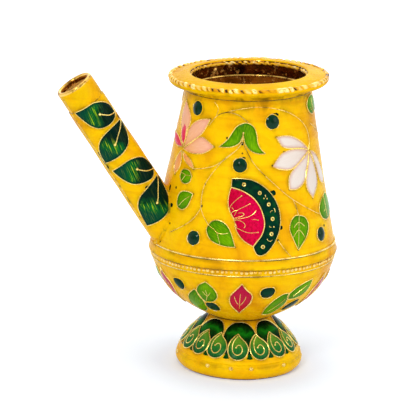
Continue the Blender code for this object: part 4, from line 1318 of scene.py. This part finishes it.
for side, middle in WALL_SIDES:
    drops = bmesh.new()
    for degrees, height, wide, tall in DROPS + (ROOT_DROPS if side == "front" else ()):
        lay_into(drops, speck_cell((0, 0), wide, tall, 0), WALL_SKIN, middle + degrees, height * MM)
    for angle, height, tip in wall_tips[side]:
        lay_into(drops, speck_cell(tip, TIP_SPECK, TIP_SPECK, 1), WALL_SKIN, angle, height * MM)
    add_piece(f"green_drops_{side}", drops, [RIND_GREEN, BURNT])

SPOUT_DROPS = (
    (151, 35.2, 0.6, 1.7), (154, 38.6, 0.9, 2.0), (150, 42.4, 0.5, 1.1), (84, 60.6, 0.9, 0.5),
    (26, 24.4, 0.5, 0.9),
)
spout_drops = bmesh.new()
for way in (-1, 1):
    for degrees, below, wide, tall in SPOUT_DROPS:
        lay_into(spout_drops, speck_cell((0, 0), wide, tall, 0), SPOUT_SKIN, way * degrees, -below * MM)
add_piece("green_drops_spout", spout_drops, [RIND_GREEN], place=SPOUT)

# Vines: single gilt wires bent freehand, which run over the wall from flower to leaf. They were laid
# before the yellow enamel, which half covers them, and two lie almost under it.
VINES = (
    [(-34.1, 128.2), (-27.2, 133.4), (-18.3, 135.4), (-8.8, 134.6), (-0.5, 131.5)],
    [(56.3, 116.0), (58.7, 120.7), (56.1, 126.8), (47.6, 131.8), (34.5, 135.9), (19.3, 138.3)],
    [(-9.0, 117.8), (-19.6, 111.8), (-30.7, 100.2), (-31.7, 90.6), (-29.7, 86.2), (-24.7, 81.8)],
    [(-42.6, 106.5), (-32.8, 107.8), (-22.6, 110.5), (-9.5, 117.6), (-4.6, 121.6)],
    [(-31.2, 89.2), (-35.5, 83.8), (-42.4, 79.2), (-54.2, 73.9)],
    [(-4.2, 121.8), (3.6, 113.3), (9.4, 108.8), (19.0, 102.9), (34.7, 94.0), (55.4, 85.9), (70.0, 82.4)],
    [(34.7, 94.0), (37.1, 89.8), (38.3, 86.0)],
    [(21.7, 75.2), (26.3, 70.3), (30.3, 66.8)],
    [(63.5, 128.5), (74.0, 125.4), (85.5, 122.4)],
)
SUNK_VINES = (
    [(19.3, 138.3), (7.6, 138.7), (-3.5, 137.9), (-14.0, 136.5), (-22.0, 135.0)],
    [(-31.4, 139.6), (-27.8, 137.8), (-27.0, 135.9), (-28.2, 133.6)],
)
VINE = 0.15
VINE_LIFT = 0.08
SUNK_LIFT = -0.07
VINE_STEPS = 8
vine_wires = []
for side, middle in WALL_SIDES:
    vines = []
    for drawings, lift in ((VINES, VINE_LIFT), (SUNK_VINES, SUNK_LIFT)):
        for points in drawings:
            spots = [(middle + degrees, height * MM) for degrees, height in stroke(points, VINE_STEPS)]
            vines.append(([lay((0, 0, lift), WALL_SKIN, *spot) for spot in spots], False, VINE))
    add_piece(f"wall_vines_{side}", wire_mesh(vines), [VINE_GILT])
    add_piece(f"wall_wires_{side}", wire_mesh(wall_wires[side], wall_balls[side]), [GILT])
    vine_wires += vines

# Stains and painted shade: brown marks in the yellow enamel, where flux crept out of it in the kiln along
# the wires and solder. The same brown is laid as painted shade in the gap between bowl and foot, under the
# waist band's ledge, in the spout's step and under the rim's flange. Elsewhere some skins also darken at
# joints and towards one height. Each skin carries them as a value at its points, which its enamel reads.
STAIN_AND_SHADE_REACH = 1.3 * MM
CREPT_STRENGTH = 2.2


def fading(distance, reach):
    """How much of a mark is left at a distance: 1 at its middle, 0 far away."""
    return math.exp(-(distance / reach) ** 2)


def stain_and_shade(piece, points, spots=(), depth=0.7, veil=lambda height: 0.0):
    """Darkens a skin's enamel along the points that lie on it, over a veil that changes with height. It is
    tinted green at a few spots, given as a point and a radius, where a neighbour's colour ran over."""
    tree = KDTree(len(points))
    for k, point in enumerate(points):
        tree.insert(point, k)
    tree.balance()
    brown, green = [], []
    for vert in piece.data.vertices:
        brown.append(depth * fading(tree.find(vert.co)[2], STAIN_AND_SHADE_REACH) + veil(vert.co.z))
        crept = sum(CREPT_STRENGTH * fading((vert.co - spot).length, radius) for spot, radius in spots)
        green.append(min(crept, 1.0))
    for name, values in (("stain_and_shade", brown), ("crept", green)):
        piece.data.attributes.new(name, "FLOAT", "POINT").data.foreach_set("value", values)


def veiled(share, start, end):
    """A veil that grows between two heights, in millimetres, to a share of the darkening."""
    return lambda height: share * min(max((height / MM - start) / (end - start), 0.0), 1.0)


def wire_points(wires, place):
    """Points along wires, where these are placed."""
    return [place @ point for points, _, _ in wires for point in points]


HOOP_POINTS = 180


def hoop(radius, height, place=POT):
    """Points round the pot at one height, in millimetres."""
    flat = ring_points(radius, HOOP_POINTS)
    return [place @ ((point.to_3d() + Vector((0, 0, height))) * MM) for point in flat]


seam_line = [POT @ p for p in seam_points]
framed = [wire for frames in (wall_wires, bezel_wires) for side in frames.values() for wire in side]
wall_lines = wire_points(framed + vine_wires, POT) + seam_line
stain_and_shade(
    body_piece, wall_lines + hoop(31.6, 142.0) + hoop(46.2, 65.4, WAIST), veil=veiled(0.18, 124, 138)
)
bowl_lines = wire_points(bowl_wires + oval_wires, POT)
# Painted shade: the hoops at the bowl's foot darken the gap where it sits on the foot.
stain_and_shade(bowl_piece, bowl_lines + hoop(16.5, 27.0) + hoop(18.0, 27.8) + hoop(46.4, 58.0, WAIST))
SPOUT_RUNS = ((152, 36.5), (150, 42.0))
SPOUT_RUN, SEAM_RUN = 1.8 * MM, 2.0 * MM
SEAM_RUNS = slice(50, None, 9)
spout_runs = [
    (SPOUT @ lay((0, 0, 0), SPOUT_SKIN, way * degrees, -below * MM), SPOUT_RUN)
    for way in (-1, 1) for degrees, below in SPOUT_RUNS
]
# Painted shade: the hoop round the step darkens its crease. The veil darkens the spout higher up.
tube_lines = wire_points(spout_wires + edge_wires, SPOUT) + seam_line + hoop(9.4, -10.2, SPOUT)
stain_and_shade(tube_piece, tube_lines, spout_runs, veil=veiled(0.2, 118, 128))
stain_and_shade(seam_piece, seam_line, [(point, SEAM_RUN) for point in seam_line[SEAM_RUNS]], depth=1.2)
# Painted shade: the hoop under the ledge darkens the band over the beads.
stain_and_shade(band_piece, hoop(47.5, 61.3, WAIST) + hoop(46.4, 65.3, WAIST))
stain_and_shade(shell_piece, wire_points(foot_wires, POT))
ROLL_VEIL = 0.14
stain_and_shade(roll_piece, hoop(30.4, 0.2) + hoop(32.0, 6.6), depth=0.4, veil=lambda height: ROLL_VEIL)

# Rim: a broad flange turned out over the neck, enamelled yellow on top and below, on a sleeve that
# goes down inside the neck and is left as dark bare brass.
rim_outline = (
    bend((28.9, 148.4), (28.9, 149.3), (29.4, 149.85), (30.4, 149.8), 8)
    + bend((30.8, 149.75), (33.0, 149.4), (36.0, 149.0), (37.9, 148.3), 10)
    + bend((38.6, 147.6), (39.6, 147.0), (39.8, 146.2), (39.2, 145.6), 6)
    + bend((38.7, 145.0), (36.4, 144.4), (33.0, 144.6), (32.2, 142.7), 12)
    + line((32.1, 142.0), (31.5, 141.7), (30.0, 141.7), (29.8, 135.4), (28.9, 135.4), (28.8, 140.5))
    + bend((28.8, 140.9), (28.1, 141.2), (28.1, 141.8), (28.8, 142.1), 5)
)
RIM_INSIDE = 29.05 * MM
RING_INSIDE = 28.7 * MM
SLEEVE_TOP = 141.1 * MM
rim = turned(rim_outline)
bare_inside(rim, lambda z: RIM_INSIDE)
for face in rim.faces:
    middle = face.calc_center_median()
    if middle.xy.length < RING_INSIDE:
        face.material_index = 2
    elif face.material_index == 1 and middle.z < SLEEVE_TOP:
        face.material_index = 3
waver(rim)
# The sleeve's brass is flecked with painted glints.
SLEEVE_BRASS = old_brass("sleeve_brass", (0.20, 0.062, 0.004), (0.62, 0.23, 0.022), 0.7, 0.7)
RING_GILT = gilt_brass("ring_gilt", (0.09, 0.026, 0.002), (0.84, 0.52, 0.11), 0.9)
RIM_YELLOW = yellow_enamel("rim_yellow", 0.01)
ASIDE = Vector((AWAY.y, -AWAY.x, 0))
NECK = 141.5 * MM
RIM_RAISE = 0.9 * MM
RIM_LEAN = Matrix.Rotation(math.radians(2.15), 4, ASIDE) @ Matrix.Rotation(math.radians(-1.8), 4, AWAY)
RIM = POT @ Matrix.Translation((0, 0, NECK + RIM_RAISE)) @ RIM_LEAN @ Matrix.Translation((0, 0, -NECK))
rim_finishes = [RIM_YELLOW, DARK_BRASS, RING_GILT, SLEEVE_BRASS]
rim_piece = add_piece("rim_plate", rim, rim_finishes, ["rim_flange"], place=RIM)
# Painted shade: the veil darkens the flange's underside.
stain_and_shade(rim_piece, hoop(32.2, 142.7, RIM), veil=veiled(0.4, 147.4, 145.9))
solder_and_shade_line("neck_solder", 31.80, 141.75, 0.14, 0.45, RIM)

# Rim rope: gilt wire twisted and hammered into a row of uneven beads, soldered along the flange's edge
# and again, finer, inside the mouth. Enamel still fills it, except on the beads that are rubbed bright, and
# the tops of the beads are painted pale as highlights.
ROPE_HOLLOW = (0.07, 0.022, 0.002)
ROPE_PAINTED_HIGHLIGHT = (0.97, 0.75, 0.24)


def worn_gilt(name, shine, highlight):
    """Enamel in the hollows of beaded wire, near-black at their very bottom, and bare gilt on its high
    spots, whose tops are painted pale as a highlight.
    """
    material, tree, shader = new_material(name)
    cloud, speck, height = fired(tree, 120.0, 900.0)
    high = maths(tree, "ADD", mark(tree, "high"), swing(tree, cloud, -0.35, 0.35))
    # Painted highlight: the highest spots of the beads take a pale gilt.
    worn = ((0.24, ROPE_HOLLOW), (0.42, AMBER), (0.64, YOLK), (0.9, shine), (1.0, highlight))
    colour = ramp(tree, high, worn)
    connect(
        tree, shader, Base_Color=colour, Metallic=between(tree, high, 0.8, 1.05, 0.0, 0.6),
        Roughness=swing(tree, speck, 0.14, 0.3), Normal=bump(tree, height, 0.3, 0.3 * MM),
        Specular_IOR_Level=0.12,
    )
    return material


WORN_GILT = worn_gilt("worn_gilt", GILT_LIGHT, ROPE_PAINTED_HIGHLIGHT)
MOUTH_GILT = worn_gilt("mouth_gilt", (0.80, 0.45, 0.06), (1.0, 0.72, 0.26))
BEAD_STEPS = 12
BEAD_DRIFT, DRIFT_PITCH = 2.4, 9 * MM
BEAD_UNEVEN, SIZE_PITCH = 0.8, 4 * MM
BEAD_BLUNT = 0.8
RUBBED, RUBBED_UNEVEN, RUBBED_MOST, RUBBED_PITCH = 0.35, 1.3, 0.75, 13 * MM
RUBBED_HIGH = 0.66
BEAD_CORE, BEAD_GROWTH = 0.5, 0.62


def rope_ring(ring, height, thick, beads, lean, seed):
    """A ring of wire swelling into uneven, leaning beads; "high" is 0 between them and 1 on top."""
    bm = wire_ring(ring, height, thick, ROUND_SIDES, BEAD_STEPS * beads)
    high = bm.verts.layers.float.new("high")
    start = Vector((seed, seed, seed))
    for vert in bm.verts:
        angle = math.atan2(vert.co.y, vert.co.x)
        core = Vector((ring * math.cos(angle), ring * math.sin(angle), height)) * MM
        spoke = vert.co - core
        twist = lean * math.atan2(spoke.z, vert.co.xy.length - ring * MM)
        drift = BEAD_DRIFT * noise.noise(core / DRIFT_PITCH + start)
        swell = abs(math.sin((beads * angle + twist) / 2 + drift)) ** BEAD_BLUNT
        size = 1.0 + BEAD_UNEVEN * noise.noise(core / SIZE_PITCH + start)
        rubbed = RUBBED + RUBBED_UNEVEN * noise.noise(core / RUBBED_PITCH - start)
        rubbed = min(max(rubbed, 0.0), RUBBED_MOST)
        vert[high] = swell * size * (1 - rubbed) + RUBBED_HIGH * rubbed * size
        vert.co = core + spoke * (BEAD_CORE + BEAD_GROWTH * vert[high])
    waver(bm)
    return bm


rope = rope_ring(38.7, 147.8, 1.14, 66, 0.9, 0.0)
add_piece("rim_rope", rope, [WORN_GILT], ["rim_bead_wire"], place=RIM)
add_piece("mouth_rope", rope_ring(29.15, 147.9, 0.85, 54, 0.5, 3.0), [MOUTH_GILT], place=RIM)

# Floor, light and camera: a pale floor under soft light, seen from a little above and to the
# side, so that the spout points left. The floor's glow is weaker close to the pot, a painted shadow round
# its foot, and the camera sees the floor a cooler colour than the light it throws back, which hides the
# yellow light that the pot throws onto it.
FLOOR_REACH = 6.0
sheet = bmesh.new()
bmesh.ops.create_grid(sheet, x_segments=1, y_segments=1, size=FLOOR_REACH)
floor_mesh = bpy.data.meshes.new("floor")
sheet.to_mesh(floor_mesh)
sheet.free()
floor = bpy.data.objects.new("floor", floor_mesh)
bpy.context.scene.collection.objects.link(floor)
PAPER_WARM, PAPER_COOL = (0.82, 0.80, 0.78, 1.0), (0.70, 0.80, 0.95, 1.0)
PAPER_NEAR, PAPER_FAR = 0.040, 0.120
PAPER_GLOW_AND_SHADOW = (
    (0.0, (0.195, 0.16, 0.14)), (0.17, (0.28, 0.24, 0.19)), (0.44, (0.34, 0.29, 0.22)),
    (1.0, (0.5, 0.5, 0.5)),
)
paper, tree, shader = new_material("paper_floor")
tree.nodes.remove(shader)
path = node(tree, "ShaderNodeLightPath")
seen = maths(tree, "MAXIMUM", path.outputs["Is Camera Ray"], path.outputs["Is Glossy Ray"])
seen = maths(tree, "MAXIMUM", seen, path.outputs["Is Transmission Ray"])
where = node(tree, "ShaderNodeTexCoord").outputs["Object"]
reach = node(
    tree, "ShaderNodeVectorMath", {0: where, 1: POT.translation}, operation="DISTANCE"
).outputs["Value"]
# Painted light: the camera sees a cool floor colour, which cancels the yellow light thrown onto it by the
# pot; light bouncing off the floor takes the warm colour.
matte = node(tree, "ShaderNodeBsdfDiffuse", {"Color": blend(tree, seen, PAPER_WARM, PAPER_COOL)})
# Painted shadow: the floor's glow is weakest within a few centimetres of the pot and grows to full white
# further out.
floor_glow_with_shadow = ramp(tree, between(tree, reach, PAPER_NEAR, PAPER_FAR, 0.0, 1.0), PAPER_GLOW_AND_SHADOW)
glow = node(tree, "ShaderNodeEmission", {"Color": floor_glow_with_shadow, "Strength": seen})
both = node(tree, "ShaderNodeAddShader", {0: matte.outputs[0], 1: glow.outputs[0]})
plug(tree, tree.nodes["Material Output"].inputs["Surface"], both.outputs[0])
floor_mesh.materials.append(paper)

world = bpy.data.worlds.new("studio")
bpy.context.scene.world = world
world.use_nodes = True
tree = world.node_tree
tree.nodes.clear()
path = node(tree, "ShaderNodeLightPath")
mirrored = maths(tree, "MAXIMUM", path.outputs["Is Glossy Ray"], path.outputs["Is Transmission Ray"])
heading = node(tree, "ShaderNodeTexCoord").outputs["Generated"]
DARK_SIDE = (-0.27, -0.93, 0.25)
ROOM_LIGHT = 0.72
toward = node(
    tree, "ShaderNodeVectorMath", {0: heading, 1: DARK_SIDE}, operation="DOT_PRODUCT"
).outputs["Value"]
room = between(tree, toward, 0.1, 0.85, 1.0, 0.3)
lit = node(tree, "ShaderNodeMix", {0: mirrored, 2: ROOM_LIGHT, 3: room}, data_type="FLOAT").outputs[0]
strength = maths(tree, "MAXIMUM", lit, path.outputs["Is Camera Ray"])
sky = node(tree, "ShaderNodeBackground", {"Color": (1, 1, 1, 1), "Strength": strength})
node(tree, "ShaderNodeOutputWorld", {"Surface": sky.outputs[0]})

TARGET = Vector((6.82, 5.0, 80.27)) * MM
LAMPS = (
    ("key", (-0.75, -1.05, 0.95), 0.34, 7.4),
    ("fill", (0.95, -0.80, 0.60), 0.8, 4.0),
    ("card", (-0.25, -1.15, 0.12), 0.7, 1.3),
    ("top", (0.10, 0.35, 1.30), 0.9, 1.8),
    ("back", (0.35, 1.25, 0.80), 1.0, 3.5),
)
for name, place, size, power in LAMPS:
    lamp = bpy.data.lights.new(name, "AREA")
    lamp.size = size
    lamp.energy = power
    stand = bpy.data.objects.new(name, lamp)
    stand.location = place
    stand.rotation_mode = "QUATERNION"
    stand.rotation_quaternion = (TARGET - Vector(place)).to_track_quat("-Z", "Y")
    bpy.context.scene.collection.objects.link(stand)

EYE = Vector((-260.9, -928.8, 318.0)) * MM
LENS = 172.1
ROLL = math.radians(1.92)
SENSOR = 36.0
camera_data = bpy.data.cameras.new("camera")
camera_data.lens = LENS
camera_data.sensor_width = SENSOR
camera_data.clip_start = 10 * MM
camera = bpy.data.objects.new("camera", camera_data)
camera.location = EYE
camera.rotation_mode = "QUATERNION"
camera.rotation_quaternion = (TARGET - EYE).to_track_quat("-Z", "Y") @ Quaternion((0, 0, 1), ROLL)
bpy.context.scene.collection.objects.link(camera)
bpy.context.scene.camera = camera
bpy.context.scene.view_settings.view_transform = "Standard"
